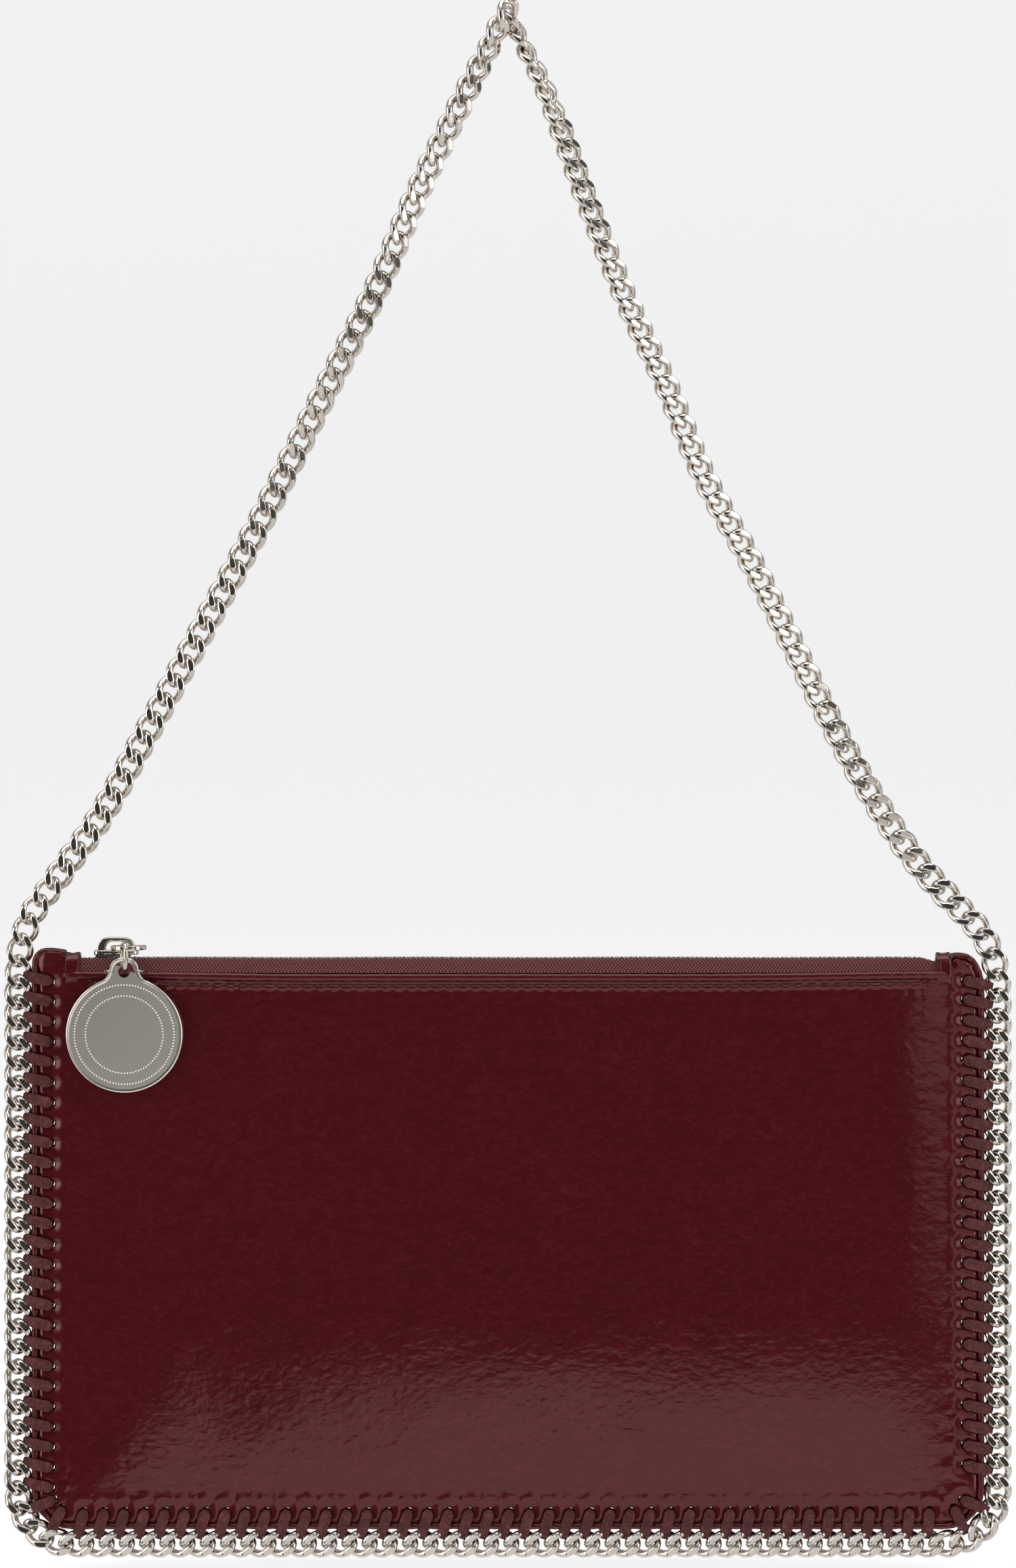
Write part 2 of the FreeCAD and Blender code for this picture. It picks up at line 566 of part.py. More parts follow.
arch = pad("slider_bridge", "XZ_Plane", 0,
           outline([(BX0, st_ - 0.3), (BX0, bt), (BX1, bt), (BX1, st_ - 0.3), (BX1 - bth - 0.1, st_ - 0.3), (BX1 - bth - 0.1, bt - bth),
                    (BX0 + bth + 0.1, bt - bth), (BX0 + bth + 0.1, st_ - 0.3)], [0, 1.7, 1.7, 0, 0, 0.9, 0.9, 0]), "dims.bridge_wide")
arch.Placement = Placement(V(0, -S["bridge_wide"] / 2 - arch.Shape.BoundBox.YMin, 0), Rotation())
doc.recompute()
sl = doc.addObject("Part::MultiFuse", "zip_slider")
sl.Shapes = [top, low, keel] + fl + [arch]
done(sl, "zip_slider")

# ------------------------------------------------------------------ pull link, jump ring, disc
px, pw, pf, pl, pb = S["pull_x"], S["pull_wide"] / 2, S["pull_front"], S["pull_len"], S["pull_bar"]
oval = outline([(px - pw, pf), (px + pw, pf), (px + pw, pf + pl), (px - pw, pf + pl)], 3.4)
hole = outline([(px - pw + pb, pf + pb), (px + pw - pb, pf + pb), (px + pw - pb, pf + pl - pb), (px - pw + pb, pf + pl - pb)], 2.4)
pull = pad("pull_link", "XY_Plane", 0, oval + hole, "dims.pull_bar", fillet=0.4, edges=lambda e: True)
pull.setExpression("Placement.Base.z", "dims.pull_z")
done(pull, "pull_link")

ring = doc.addObject("Part::Torus", "jump_ring")
ring.setExpression("Radius1", "dims.ring_radius")
ring.setExpression("Radius2", "dims.ring_wire")
ring.Placement = Placement(V(S["ring_x"], S["ring_y"], S["ring_z"]), Rotation(V(0, 1, 0), 90))
done(ring, "jump_ring")

cx, cz, R, nh, nt = S["ring_x"], S["disc_z"], S["disc_radius"], S["neck_half"], S["neck_top"]
zj = cz + math.sqrt(R * R - (nh + 0.9) ** 2)
a0 = math.atan2(zj - cz, nh + 0.9)
ed = [Part.Arc(V(cx + R * math.cos(a0), cz + R * math.sin(a0), 0), V(cx, cz - R, 0), V(cx - R * math.cos(a0), cz + R * math.sin(a0), 0))]
L1, L2_ = V(cx - nh - 0.9, zj, 0), V(cx - nh, zj + 1.3, 0)
ed += [Part.LineSegment(L1, L2_), Part.LineSegment(L2_, V(cx - nh, nt - 1.6, 0))]
ed += [Part.Arc(V(cx - nh, nt - 1.6, 0), V(cx - nh + 0.47, nt - 0.47, 0), V(cx - nh + 1.6, nt, 0)),
       Part.LineSegment(V(cx - nh + 1.6, nt, 0), V(cx + nh - 1.6, nt, 0)),
       Part.Arc(V(cx + nh - 1.6, nt, 0), V(cx + nh - 0.47, nt - 0.47, 0), V(cx + nh, nt - 1.6, 0))]
ed += [Part.LineSegment(V(cx + nh, nt - 1.6, 0), V(cx + nh, zj + 1.3, 0)), Part.LineSegment(V(cx + nh, zj + 1.3, 0), V(cx + nh + 0.9, zj, 0))]
ed += [Part.Circle(V(cx, S["disc_hole_z"], 0), V(0, 0, 1), S["disc_hole"])]
disc = pad("disc_charm", "XZ_Plane", 0, ed, "dims.disc_thick", fillet=0.35, edges=lambda e: e.Length > 20)
disc.Placement = Placement(V(0, S["ring_y"] - S["disc_thick"] / 2 - disc.Shape.BoundBox.YMin, 0), Rotation())
done(disc, "disc_charm")

# ------------------------------------------------------------------ check and write
doc.recompute()
bad = [o.Label for o in doc.Objects if "Invalid" in o.State or "Error" in o.State]
if bad:
    raise SystemExit("failed objects: " + ", ".join(bad))
os.makedirs("parts", exist_ok=True)
for p in pieces:
    if p.Shape.isNull() or not p.Shape.isValid():
        raise SystemExit("bad shape: " + p.Label)
    bb = p.Shape.BoundBox
    print("%-20s %3d solids  x %.1f..%.1f  y %.2f..%.2f  z %.1f..%.1f  vol %.1f" % (
        p.Label, len(p.Shape.Solids), bb.XMin, bb.XMax, bb.YMin, bb.YMax, bb.ZMin, bb.ZMax, p.Shape.Volume))
    p.Shape.exportStep("parts/" + p.Label + ".step")
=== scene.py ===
import bpy, bmesh, math
import numpy as np
from mathutils import Vector, Matrix


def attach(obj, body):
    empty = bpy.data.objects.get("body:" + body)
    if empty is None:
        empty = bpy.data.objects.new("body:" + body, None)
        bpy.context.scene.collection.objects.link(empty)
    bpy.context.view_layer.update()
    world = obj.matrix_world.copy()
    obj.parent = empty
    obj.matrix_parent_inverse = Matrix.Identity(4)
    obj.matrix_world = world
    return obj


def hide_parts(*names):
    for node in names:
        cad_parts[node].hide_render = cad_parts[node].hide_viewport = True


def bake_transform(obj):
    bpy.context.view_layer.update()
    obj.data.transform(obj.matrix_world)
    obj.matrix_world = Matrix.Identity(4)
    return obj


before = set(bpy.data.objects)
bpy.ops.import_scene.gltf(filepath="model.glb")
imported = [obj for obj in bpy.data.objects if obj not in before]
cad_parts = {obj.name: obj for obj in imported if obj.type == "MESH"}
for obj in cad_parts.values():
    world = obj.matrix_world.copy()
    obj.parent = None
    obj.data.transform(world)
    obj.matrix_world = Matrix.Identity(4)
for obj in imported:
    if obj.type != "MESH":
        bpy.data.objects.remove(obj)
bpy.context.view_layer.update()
rng = np.random.default_rng(7)
MM = 0.001
scene = bpy.context.scene


# =====================================================================  mesh helpers
def new_mesh(name, V, F, smooth=True, sharp=None):
    """V in millimetres, F a list or array of faces."""
    me = bpy.data.meshes.new(name)
    V = np.asarray(V, dtype=np.float64) * MM
    if isinstance(F, np.ndarray):
        k = F.shape[1]
        me.vertices.add(len(V)); me.vertices.foreach_set("co", V.astype(np.float32).ravel())
        me.loops.add(F.size); me.loops.foreach_set("vertex_index", F.astype(np.int32).ravel())
        me.polygons.add(len(F)); me.polygons.foreach_set("loop_start", np.arange(0, F.size, k, dtype=np.int32))
        me.polygons.foreach_set("loop_total", np.full(len(F), k, dtype=np.int32))
        me.update(calc_edges=True)
    else:
        me.from_pydata(V.tolist(), [], F)
    me.validate()
    me.polygons.foreach_set("use_smooth", np.full(len(me.polygons), smooth))
    if sharp is not None:
        me.set_sharp_from_angle(angle=math.radians(sharp))
    me.update()
    ob = bpy.data.objects.new(name, me)
    scene.collection.objects.link(ob)
    return ob


def rings(C, closed_u, closed_v=True):
    """Quads for a grid of nu rings of nv points."""
    nu, nv = C
    U = np.arange(nu if closed_u else nu - 1); W = np.arange(nv if closed_v else nv - 1)
    a, b = np.meshgrid(U, W, indexing="ij")
    a2, b2 = (a + 1) % nu, (b + 1) % nv
    return np.stack([a * nv + b, a2 * nv + b, a2 * nv + b2, a * nv + b2], -1).reshape(-1, 4)


def join(parts):
    """[(V, F)] to one V, F."""
    n, Vs, Fs = 0, [], []
    for V, F in parts:
        Vs.append(V); Fs.append(F + n); n += len(V)
    return np.concatenate(Vs), np.concatenate(Fs)


def wnoise(P, scale, seed, octaves=3):
    """Cheap smooth value noise on points P (N, 2) with values about -1..1."""
    r = np.random.default_rng(seed)
    out = np.zeros(len(P)); amp, tot = 1.0, 0.0
    for o in range(octaves):
        n = 64
        g = r.uniform(-1, 1, (n, n))
        q = P / scale * 2 ** o + 17.3 * (o + 1)
        i = np.floor(q).astype(int); f = q - i
        f = f * f * (3 - 2 * f)
        a = g[i[:, 0] % n, i[:, 1] % n]; b = g[(i[:, 0] + 1) % n, i[:, 1] % n]
        c = g[i[:, 0] % n, (i[:, 1] + 1) % n]; d = g[(i[:, 0] + 1) % n, (i[:, 1] + 1) % n]
        out += amp * ((a * (1 - f[:, 0]) + b * f[:, 0]) * (1 - f[:, 1]) + (c * (1 - f[:, 0]) + d * f[:, 0]) * f[:, 1])
        tot += amp; amp *= 0.5
    return out / tot


def sstep(a, b, x):
    t = np.clip((x - a) / (b - a), 0, 1)
    return t * t * (3 - 2 * t)


def smooth5(a, b, x):
    t = np.clip((x - a) / (b - a), 0, 1)
    return t * t * t * (t * (6 * t - 15) + 10)


# =====================================================================  materials
def shader(name, **sockets):
    m = bpy.data.materials.new(name)
    m.use_nodes = True
    nt = m.node_tree
    b = nt.nodes["Principled BSDF"]
    for k, v in sockets.items():
        k = k.replace("_", " ")
        b.inputs[k].default_value = v
    return m, nt, b


def node(nt, kind, **kw):
    n = nt.nodes.new(kind)
    for k, v in kw.items():
        if k in n.inputs.keys():
            n.inputs[k].default_value = v
        else:
            setattr(n, k, v)
    return n


def coords(nt, scale=(1, 1, 1)):
    tc = node(nt, "ShaderNodeTexCoord")
    mp = node(nt, "ShaderNodeMapping")
    mp.inputs["Scale"].default_value = scale
    nt.links.new(tc.outputs["Object"], mp.inputs["Vector"])
    return mp.outputs["Vector"]


def ramp(nt, fac, stops):
    r = node(nt, "ShaderNodeValToRGB")
    el = r.color_ramp.elements
    while len(el) < len(stops):
        el.new(0.5)
    for e, (p, c) in zip(el, stops):
        e.position = p
        e.color = (*c, 1) if len(c) == 3 else c
    nt.links.new(fac, r.inputs["Fac"])
    return r.outputs["Color"]


def noise(nt, vec, scale, detail=4.0, rough=0.55, dist=0.0):
    n = node(nt, "ShaderNodeTexNoise")
    n.inputs["Scale"].default_value = scale
    n.inputs["Detail"].default_value = detail
    n.inputs["Roughness"].default_value = rough
    n.inputs["Distortion"].default_value = dist
    nt.links.new(vec, n.inputs["Vector"])
    return n.outputs["Fac"]


def math_(nt, op, a, b=None, clamp=False):
    n = node(nt, "ShaderNodeMath", operation=op, use_clamp=clamp)
    for i, v in enumerate((a, b)):
        if v is None:
            continue
        if isinstance(v, (int, float)):
            n.inputs[i].default_value = v
        else:
            nt.links.new(v, n.inputs[i])
    return n.outputs["Value"]


def bump(nt, b, height, dist, strength=1.0, prev=None):
    n = node(nt, "ShaderNodeBump")
    n.inputs["Strength"].default_value = strength
    n.inputs["Distance"].default_value = dist
    nt.links.new(height, n.inputs["Height"])
    if prev is not None:
        nt.links.new(prev, n.inputs["Normal"])
    nt.links.new(n.outputs["Normal"], b.inputs["Normal"])
    return n.outputs["Normal"]


def patent():
    """Glossy patent leather, dark burgundy, with fine crinkles that lie mostly along X."""
    m, nt, b = shader("patent_leather", IOR=1.5, Specular_IOR_Level=0.68, Specular_Tint=(1.0, 0.60, 0.585, 1))
    v = coords(nt)
    big = noise(nt, v, 45, 3, 0.5)
    vs = coords(nt, (1.0, 1.0, 1.9))
    fine = noise(nt, vs, 620, 5, 0.62, 0.6)
    mid = noise(nt, vs, 230, 3, 0.55, 1.4)
    tone = math_(nt, "ADD", math_(nt, "MULTIPLY", big, 0.08), math_(nt, "ADD", math_(nt, "MULTIPLY", fine, 0.56), math_(nt, "MULTIPLY", mid, 0.36)))
    col = ramp(nt, tone, [(0.36, (0.050, 0.0042, 0.0056)), (0.5, (0.062, 0.0054, 0.0070)), (0.64, (0.082, 0.0086, 0.0104))])
    nt.links.new(col, b.inputs["Base Color"])
    h = math_(nt, "ADD", math_(nt, "MULTIPLY", fine, 0.45), mid)
    bump(nt, b, h, 0.00006, 0.6)
    r = ramp(nt, fine, [(0.3, (0.022, 0.022, 0.022)), (0.7, (0.045, 0.045, 0.045))])
    nt.links.new(r, b.inputs["Roughness"])
    return m


def lace_mat():
    m, nt, b = shader("lace_leather", Roughness=0.72, Specular_IOR_Level=0.3)
    v = coords(nt)
    f1 = noise(nt, v, 500, 5, 0.65)
    f2 = noise(nt, v, 1800, 3, 0.7)
    mixf = math_(nt, "ADD", math_(nt, "MULTIPLY", f1, 0.45), math_(nt, "MULTIPLY", f2, 0.55))
    col = ramp(nt, mixf, [(0.34, (0.034, 0.008, 0.008)), (0.52, (0.086, 0.020, 0.0185)), (0.68, (0.185, 0.056, 0.051))])
    nt.links.new(col, b.inputs["Base Color"])
    bump(nt, b, mixf, 0.0003, 0.6)
    return m


def plain_leather():
    m, nt, b = shader("plain_leather", Roughness=0.5, Specular_IOR_Level=0.4)
    v = coords(nt)
    f1 = noise(nt, v, 320, 5, 0.6)
    col = ramp(nt, f1, [(0.3, (0.05, 0.011, 0.012)), (0.7, (0.088, 0.022, 0.023))])
    nt.links.new(col, b.inputs["Base Color"])
    bump(nt, b, f1, 0.0003, 0.5)
    return m


def metal(name, base, dark, rough, scale=300, dent=0.00002):
    m, nt, b = shader(name, Metallic=1.0)
    v = coords(nt)
    f = noise(nt, v, scale, 4, 0.6)
    col = ramp(nt, f, [(0.3, dark), (0.7, base)])
    nt.links.new(col, b.inputs["Base Color"])
    if dent < 0.00001:               # satin plate: even all over
        b.inputs["Roughness"].default_value = rough
        return m
    r = ramp(nt, noise(nt, v, scale * 3, 3, 0.6), [(0.3, (rough * 0.7,) * 3), (0.7, (rough * 1.4,) * 3)])
    nt.links.new(r, b.inputs["Roughness"])
    bump(nt, b, noise(nt, v, scale * 5, 2, 0.5), dent, 0.25)
    return m


def tape_mat():
    """Herringbone woven tape: chevrons along X."""
    m, nt, b = shader("zip_tape", Roughness=0.85, Sheen_Weight=0.25, Specular_IOR_Level=0.2)
    tc = node(nt, "ShaderNodeTexCoord")
    sx = node(nt, "ShaderNodeSeparateXYZ")
    nt.links.new(tc.outputs["Object"], sx.inputs[0])
    x, z = sx.outputs["X"], sx.outputs["Z"]
    zz = math_(nt, "PINGPONG", math_(nt, "MULTIPLY", z, 1000.0), 1.55)
    ph = math_(nt, "ADD", math_(nt, "MULTIPLY", x, 1000.0 / 0.86), math_(nt, "MULTIPLY", zz, 1.15))
    w = math_(nt, "SINE", math_(nt, "MULTIPLY", ph, 2 * math.pi))
    w01 = math_(nt, "ADD", math_(nt, "MULTIPLY", w, 0.5), 0.5)
    col = ramp(nt, w01, [(0.15, (0.040, 0.008, 0.009)), (0.6, (0.150, 0.030, 0.031)), (0.95, (0.24, 0.070, 0.066))])
    nt.links.new(col, b.inputs["Base Color"])
    fz = noise(nt, tc.outputs["Object"], 2500, 2, 0.5)
    bump(nt, b, math_(nt, "ADD", w01, math_(nt, "MULTIPLY", fz, 0.5)), 0.00025, 0.8)
    return m


def lining_mat():
    m, nt, b = shader("lining", Roughness=0.8, Sheen_Weight=0.2)
    tc = node(nt, "ShaderNodeTexCoord")
    sx = node(nt, "ShaderNodeSeparateXYZ")
    nt.links.new(tc.outputs["Object"], sx.inputs[0])
    d = math_(nt, "SINE", math_(nt, "MULTIPLY", math_(nt, "ADD", sx.outputs["X"], sx.outputs["Z"]), 7500.0))
    d1 = math_(nt, "ADD", math_(nt, "MULTIPLY", d, 0.5), 0.5)
    col = ramp(nt, d1, [(0.2, (0.016, 0.006, 0.007)), (0.9, (0.038, 0.014, 0.016))])
    nt.links.new(col, b.inputs["Base Color"])
    bump(nt, b, d1, 0.0001, 0.5)
    return m


def thread_mat():
    m, nt, b = shader("thread", Roughness=0.65, Sheen_Weight=0.2)
    v = coords(nt, (1, 1, 3))
    f = noise(nt, v, 2200, 3, 0.6)
    col = ramp(nt, f, [(0.3, (0.06, 0.016, 0.018)), (0.8, (0.16, 0.06, 0.06))])
    nt.links.new(col, b.inputs["Base Color"])
    bump(nt, b, f, 0.0001, 0.5)
    return m


M = {
    "patent": patent(), "lace": lace_mat(), "plain": plain_leather(),
    "chain": metal("chain_metal", (0.700, 0.645, 0.586), (0.620, 0.568, 0.510), 0.07),
    "pull": metal("pull_metal", (0.66, 0.61, 0.53), (0.60, 0.55, 0.47), 0.10),
    "tag": metal("tag_metal", (0.97, 0.905, 0.82), (0.955, 0.89, 0.805), 0.27, 90, 0.000001),
    "zipm": metal("zip_metal", (0.74, 0.72, 0.68), (0.5, 0.48, 0.45), 0.2, 500),
    "tape": tape_mat(), "lining": lining_mat(), "thread": thread_mat(),
}


def give(ob, key):
    ob.data.materials.clear()
    ob.data.materials.append(M[key])


def piece(ob, key, slot, body, *nodes):
    give(ob, key)
    if body:
        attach(ob, body)
    if nodes:
        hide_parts(*nodes)
    return ob


# =====================================================================  curb chain
SZ = dict(chain_x=121.8, top_l=-240.6, top_r=-244.0, bottom=-382.7, corner=13.0, border_pitch=5.03, hinge_pitch=5.4, strap_pitch=5.42)
LEFT_LEG = [(-110.674, -215.292), (-101.076, -201.646), (-89.284, -180.252), (-75.639, -154.983), (-61.993, -129.546),
            (-48.348, -102.255), (-32.849, -71.09), (-21.057, -43.8)]
RIGHT_LEG = [(101.75, -213.439), (89.957, -195.919), (80.187, -178.231), (70.585, -158.858), (60.814, -139.316),
             (49.022, -117.922), (39.251, -94.506), (29.649, -73.954), (19.878, -49.527), (10.444, -24.258)]
TOP_LEFT = [((-12.673, -0.525, -26.641), 63.48, 38.31), ((-10.3, -0.973, -21.852), 62.72, 43.25),
            ((-7.869, -1.387, -17.064), 62.71, 47.35), ((-5.392, -1.835, -12.369), 62.79, 53.58),
            ((-3.204, -2.026, -7.535), 63.27, 55.48), ((-0.69, -1.414, -2.893), 65.09, 61.52)]
TOP_RIGHT = [((11.914, 0.594, -28.134), 291.68, -55.16), ((10.029, 1.094, -23.109), 293.2, -57.41),
             ((7.889, 1.516, -18.225), 295.27, -63.2), ((5.406, 1.922, -13.355), 296.93, -67.33),
             ((3.05, 1.997, -8.388), 295.13, -72.46), ((0.815, 1.363, -3.585), 291.96, -81.78)]
LEAN = {-1: (10.0, 20.0, 29.0), 1: (14.0, 27.0, 39.0)}


def corner_links(side):
    cx, cz, a0 = side * SZ["chain_x"], SZ["top_l" if side < 0 else "top_r"], 0.0
    p = SZ["hinge_pitch"] / 2
    res = []
    for lean in LEAN[side]:
        px, pz = cx - side * math.sin(math.radians(a0)) * p, cz + math.cos(math.radians(a0)) * p
        cx, cz = px - side * math.sin(math.radians(lean)) * p, pz + math.cos(math.radians(lean)) * p
        res.append(((cx, 0, cz), 90 + side * lean, 0.0))
        a0 = lean
    return res


def through(P, n=40):
    Q = [tuple(2 * a - b for a, b in zip(P[0], P[1]))] + list(P) + [tuple(2 * a - b for a, b in zip(P[-1], P[-2]))]
    out = []
    for i in range(1, len(Q) - 2):
        for k in range(n):
            t = k / n
            out.append(tuple(0.5 * (2 * b + (c - a) * t + (2 * a - 5 * b + 4 * c - d) * t * t + (3 * b - a - 3 * c + d) * t ** 3)
                             for a, b, c, d in zip(*Q[i - 1:i + 3])))
    out.append(tuple(P[-1]))
    return out


def even(D, n):
    L = [0.0]
    for a, b in zip(D, D[1:]):
        L.append(L[-1] + math.dist(a, b))
    out, j = [], 0
    for i in range(n + 1):
        s = L[-1] * i / n
        while j < len(L) - 2 and L[j + 1] < s:
            j += 1
        f = (s - L[j]) / max(L[j + 1] - L[j], 1e-9)
        out.append(tuple(a + (b - a) * f for a, b in zip(D[j], D[j + 1])))
    return out, L[-1]


def strap_leg(side):
    start = corner_links(side)[-1][0]
    top = (-0.62, -2.75) if side < 0 else (0.615, -3.69)
    P = [(start[0], start[2])] + (LEFT_LEG if side < 0 else RIGHT_LEG) + [top]
    D = through(P)
    n = math.ceil(even(D, 10)[1] / SZ["strap_pitch"])
    C = even(D, n)[0]
    out = []
    for i in range(n - 5):
        a, b = C[max(i - 1, 0)], C[min(i + 1, n)]
        ang = math.degrees(math.atan2(b[1] - a[1], b[0] - a[0])) + (0 if side < 0 else 180)
        if side < 0:
            tw = np.interp(i, [0, 12, 34, n - 5, n], [0, 2, 26, 40, 58.7])
        else:
            tw = -np.interp(i, [0, 3, 10, 20, n - 5, n], [0, 6, 22, 27, 45, 70])
        out.append(((C[i][0], side * (0.25 if i == n - 6 else 0.0), C[i][1]), ang, float(tw)))
    return out + (TOP_LEFT if side < 0 else TOP_RIGHT)


def border_links():
    r, zb, x, z0 = SZ["corner"], SZ["bottom"], SZ["chain_x"], SZ["top_l"]
    H, A, W = z0 - (zb + r), math.pi / 2 * r, 2 * (x - r)
    tot = H + 2 * A + W + SZ["top_r"] - (zb + r)
    n = round(tot / SZ["border_pitch"])
    out = []
    for i in range(n + 1):
        s = tot * i / n
        if s <= H:
            out.append(("left", (-x, 0, z0 - s), -90.0))
        elif s <= H + A:
            t = (s - H) / r
            out.append(("corner", (-x + r - r * math.cos(t), 0, zb + r - r * math.sin(t)), -90 + math.degrees(t)))
        elif s <= H + A + W:
            out.append(("bottom", (-x + r + s - H - A, 0, zb), 0.0))
        elif s <= H + 2 * A + W:
            t = (s - H - A - W) / r
            out.append(("corner", (x - r + r * math.sin(t), 0, zb + r - r * math.cos(t)), math.degrees(t)))
        else:
            out.append(("right", (x, 0, zb + r + s - H - 2 * A - W), 90.0))
    return out


def link_points(a=3.7, b=2.62, r=0.93, tau=100.0, flat=1.61, nu=64):
    """Twisted oval link, its wire ground flat on both faces. Columns of points follow the rims of the flats."""
    t = np.linspace(0, 2 * np.pi, nu, endpoint=False)

    def f(t):
        v0 = b * np.sin(t); ph = -math.radians(tau) / 2 * np.cos(t)
        return np.stack([a * np.cos(t), v0 * np.cos(ph), v0 * np.sin(ph)], -1)
    P = f(t); T = f(t + 1e-4) - f(t - 1e-4); T /= np.linalg.norm(T, axis=1, keepdims=True)
    O = np.stack([np.cos(t), np.sin(t), 0 * t], -1)
    N = O - (O * T).sum(1, keepdims=True) * T; N /= np.linalg.norm(N, axis=1, keepdims=True)
    B = np.cross(T, N)
    A = np.hypot(N[:, 2], B[:, 2]); p0 = np.unwrap(np.arctan2(B[:, 2], N[:, 2]))
    wc = P[:, 2]
    up = np.arccos(np.clip((flat - wc) / (r * A), -1, 1)); dn = np.arccos(np.clip((flat + wc) / (r * A), -1, 1))
    lo = 0.22
    u_, d_ = np.maximum(up, lo), np.maximum(dn, lo)
    k = 8
    cols = [p0 + u_ * q for q in (-1, -0.74, 0, 0.74, 1)]
    cols += [p0 + u_ + (np.pi - d_ - u_) * (j / (k + 1)) for j in range(1, k + 1)]
    cols += [p0 + np.pi + d_ * q for q in (-1, -0.74, 0, 0.74, 1)]
    cols += [p0 + np.pi + d_ + (np.pi - d_ - u_) * (j / (k + 1)) for j in range(1, k + 1)]
    ph = np.stack(cols, 1)
    V = P[:, None] + r * (np.cos(ph)[..., None] * N[:, None] + np.sin(ph)[..., None] * B[:, None])
    V[..., 2] = np.clip(V[..., 2], -flat, flat)
    nv = ph.shape[1]
    # a narrow bevel round each flat
    bu, bd = 0.15 * np.clip((up / lo - 1) / 1.5, 0, 1), 0.15 * np.clip((dn / lo - 1) / 1.5, 0, 1)
    V[:, 0, 2] -= bu; V[:, 4, 2] -= bu
    V[:, 5 + k, 2] += bd; V[:, 9 + k, 2] += bd
    sharp = np.zeros((nu, nv), bool)
    sharp[:, 1] = sharp[:, 3] = up > lo * 0.75
    sharp[:, 6 + k] = sharp[:, 8 + k] = dn > lo * 0.75
    return V.reshape(-1, 3), rings((nu, nv), True), sharp, nu, nv


LV, LF, LSHARP, LNU, LNV = link_points()
SLIM = link_points(r=0.78, flat=1.46)[0]


def chain(name, places, jitter=0.0, seed=1, slim=()):
    r = np.random.default_rng(seed)
    parts = []
    for i, (c, ang, tw) in enumerate(places):
        near = i in slim or (i - len(places)) in slim
        pts = SLIM if near else LV
        j1, j2 = r.uniform(-1, 1, 2) * (0.0 if near else jitter)
        a = math.radians(ang + j2 * 0.4); t = math.radians(tw + j1)
        u = np.array([math.cos(a), 0, math.sin(a)]); v = np.array([-math.sin(a), 0, math.cos(a)]); w = np.array([0, -1.0, 0])
        v2 = v * math.cos(t) + w * math.sin(t); w2 = w * math.cos(t) - v * math.sin(t)
        parts.append((np.asarray(c) + pts[:, :1] * u + pts[:, 1:2] * v2 + pts[:, 2:] * w2, LF))
    V, F = join(parts)
    ob = new_mesh(name, V, F, True)
    me = ob.data
    E = np.zeros(len(me.edges) * 2, np.int32); me.edges.foreach_get("vertices", E); E = E.reshape(-1, 2)
    n = len(LV)
    L = E % n
    ring, col = L // LNV, L % LNV
    step = (ring[:, 1] - ring[:, 0]) % LNU
    lengthwise = (col[:, 0] == col[:, 1]) & ((step == 1) | (step == LNU - 1))
    sh = lengthwise & LSHARP[ring[:, 0], col[:, 0]] & LSHARP[ring[:, 1], col[:, 1]]
    at = me.attributes.get("sharp_edge") or me.attributes.new("sharp_edge", "BOOLEAN", "EDGE")
    at.data.foreach_set("value", sh)
    me.update()
    return ob


BORDER = border_links()
CL, CRt = corner_links(-1), corner_links(1)
piece(chain("strap_left_links", strap_leg(-1), 1.2, 2, (0, 1)), "chain", "chain_metal", "strap", "strap_chain_left")
piece(chain("strap_right_links", strap_leg(1), 1.2, 3, (0, 1)), "chain", "chain_metal", "strap", "strap_chain_right")
piece(chain("corner_links_top", [CL[1], CRt[1]], slim=(0, 1)), "chain", "chain_metal", "link_upper", "corner_links_upper")
piece(chain("corner_links_low", [CL[0], CRt[0]], slim=(0, 1)), "chain", "chain_metal", "link_lower", "corner_links_lower")
piece(chain("border_left_links", [(c, a, 0) for k, c, a in BORDER if k == "left"], 2.0, 4, (0,)), "chain", "chain_metal", "pouch", "border_chain_left")
piece(chain("border_bottom_links", [(c, a, 9.0 * math.cos(math.radians(a))) for k, c, a in BORDER if k in ("corner", "bottom")], 0.7, 5), "chain", "chain_metal", "pouch", "border_chain_bottom")
piece(chain("border_right_links", [(c, a, 0) for k, c, a in BORDER if k == "right"], 2.5, 6, (-1,)), "chain", "chain_metal", "pouch", "border_chain_right")

# =====================================================================  laces
D_REACH = 7.3


def lace_places():
    out = []
    for k, c, a in BORDER:
        if k == "left" and c[2] < -240.0:
            e = (math.cos(math.radians(-12.5)), math.sin(math.radians(-12.5)))
            out.append(("left", (-120.3, c[2] - 0.8), e))
        elif k == "bottom":
            sl = 17 - 13 * max(0.0, min(1.0, (c[0] - 20) / 90.0))
            out.append(("bottom", (c[0] + 0.1, -381.2), (math.sin(math.radians(sl)), math.cos(math.radians(sl)))))
        elif k == "right" and c[2] < -243.0:
            out.append(("right", (120.3, c[2] + (0.2 if c[2] < -246 else -0.2)), (-math.cos(math.radians(13)), math.sin(math.radians(13)))))
    for side, grp in ((-1, "left"), (1, "right")):
        for deg in (24.0, 64.0):
            a = math.radians(deg)
            e = (-side * math.cos(a), math.sin(a))
            out.append((grp, (side * 108.8 - e[0] * 11.5, -369.7 - e[1] * 11.5), e))
    return out


LACES = lace_places()
HOLES = np.array([(p[0] + e[0] * 7.0, p[1] + e[1] * 7.0) for _g, p, e in LACES])
LACE_DIR = np.array([e for _g, p, e in LACES])
LACE_OUT = np.array([p for _g, p, e in LACES])


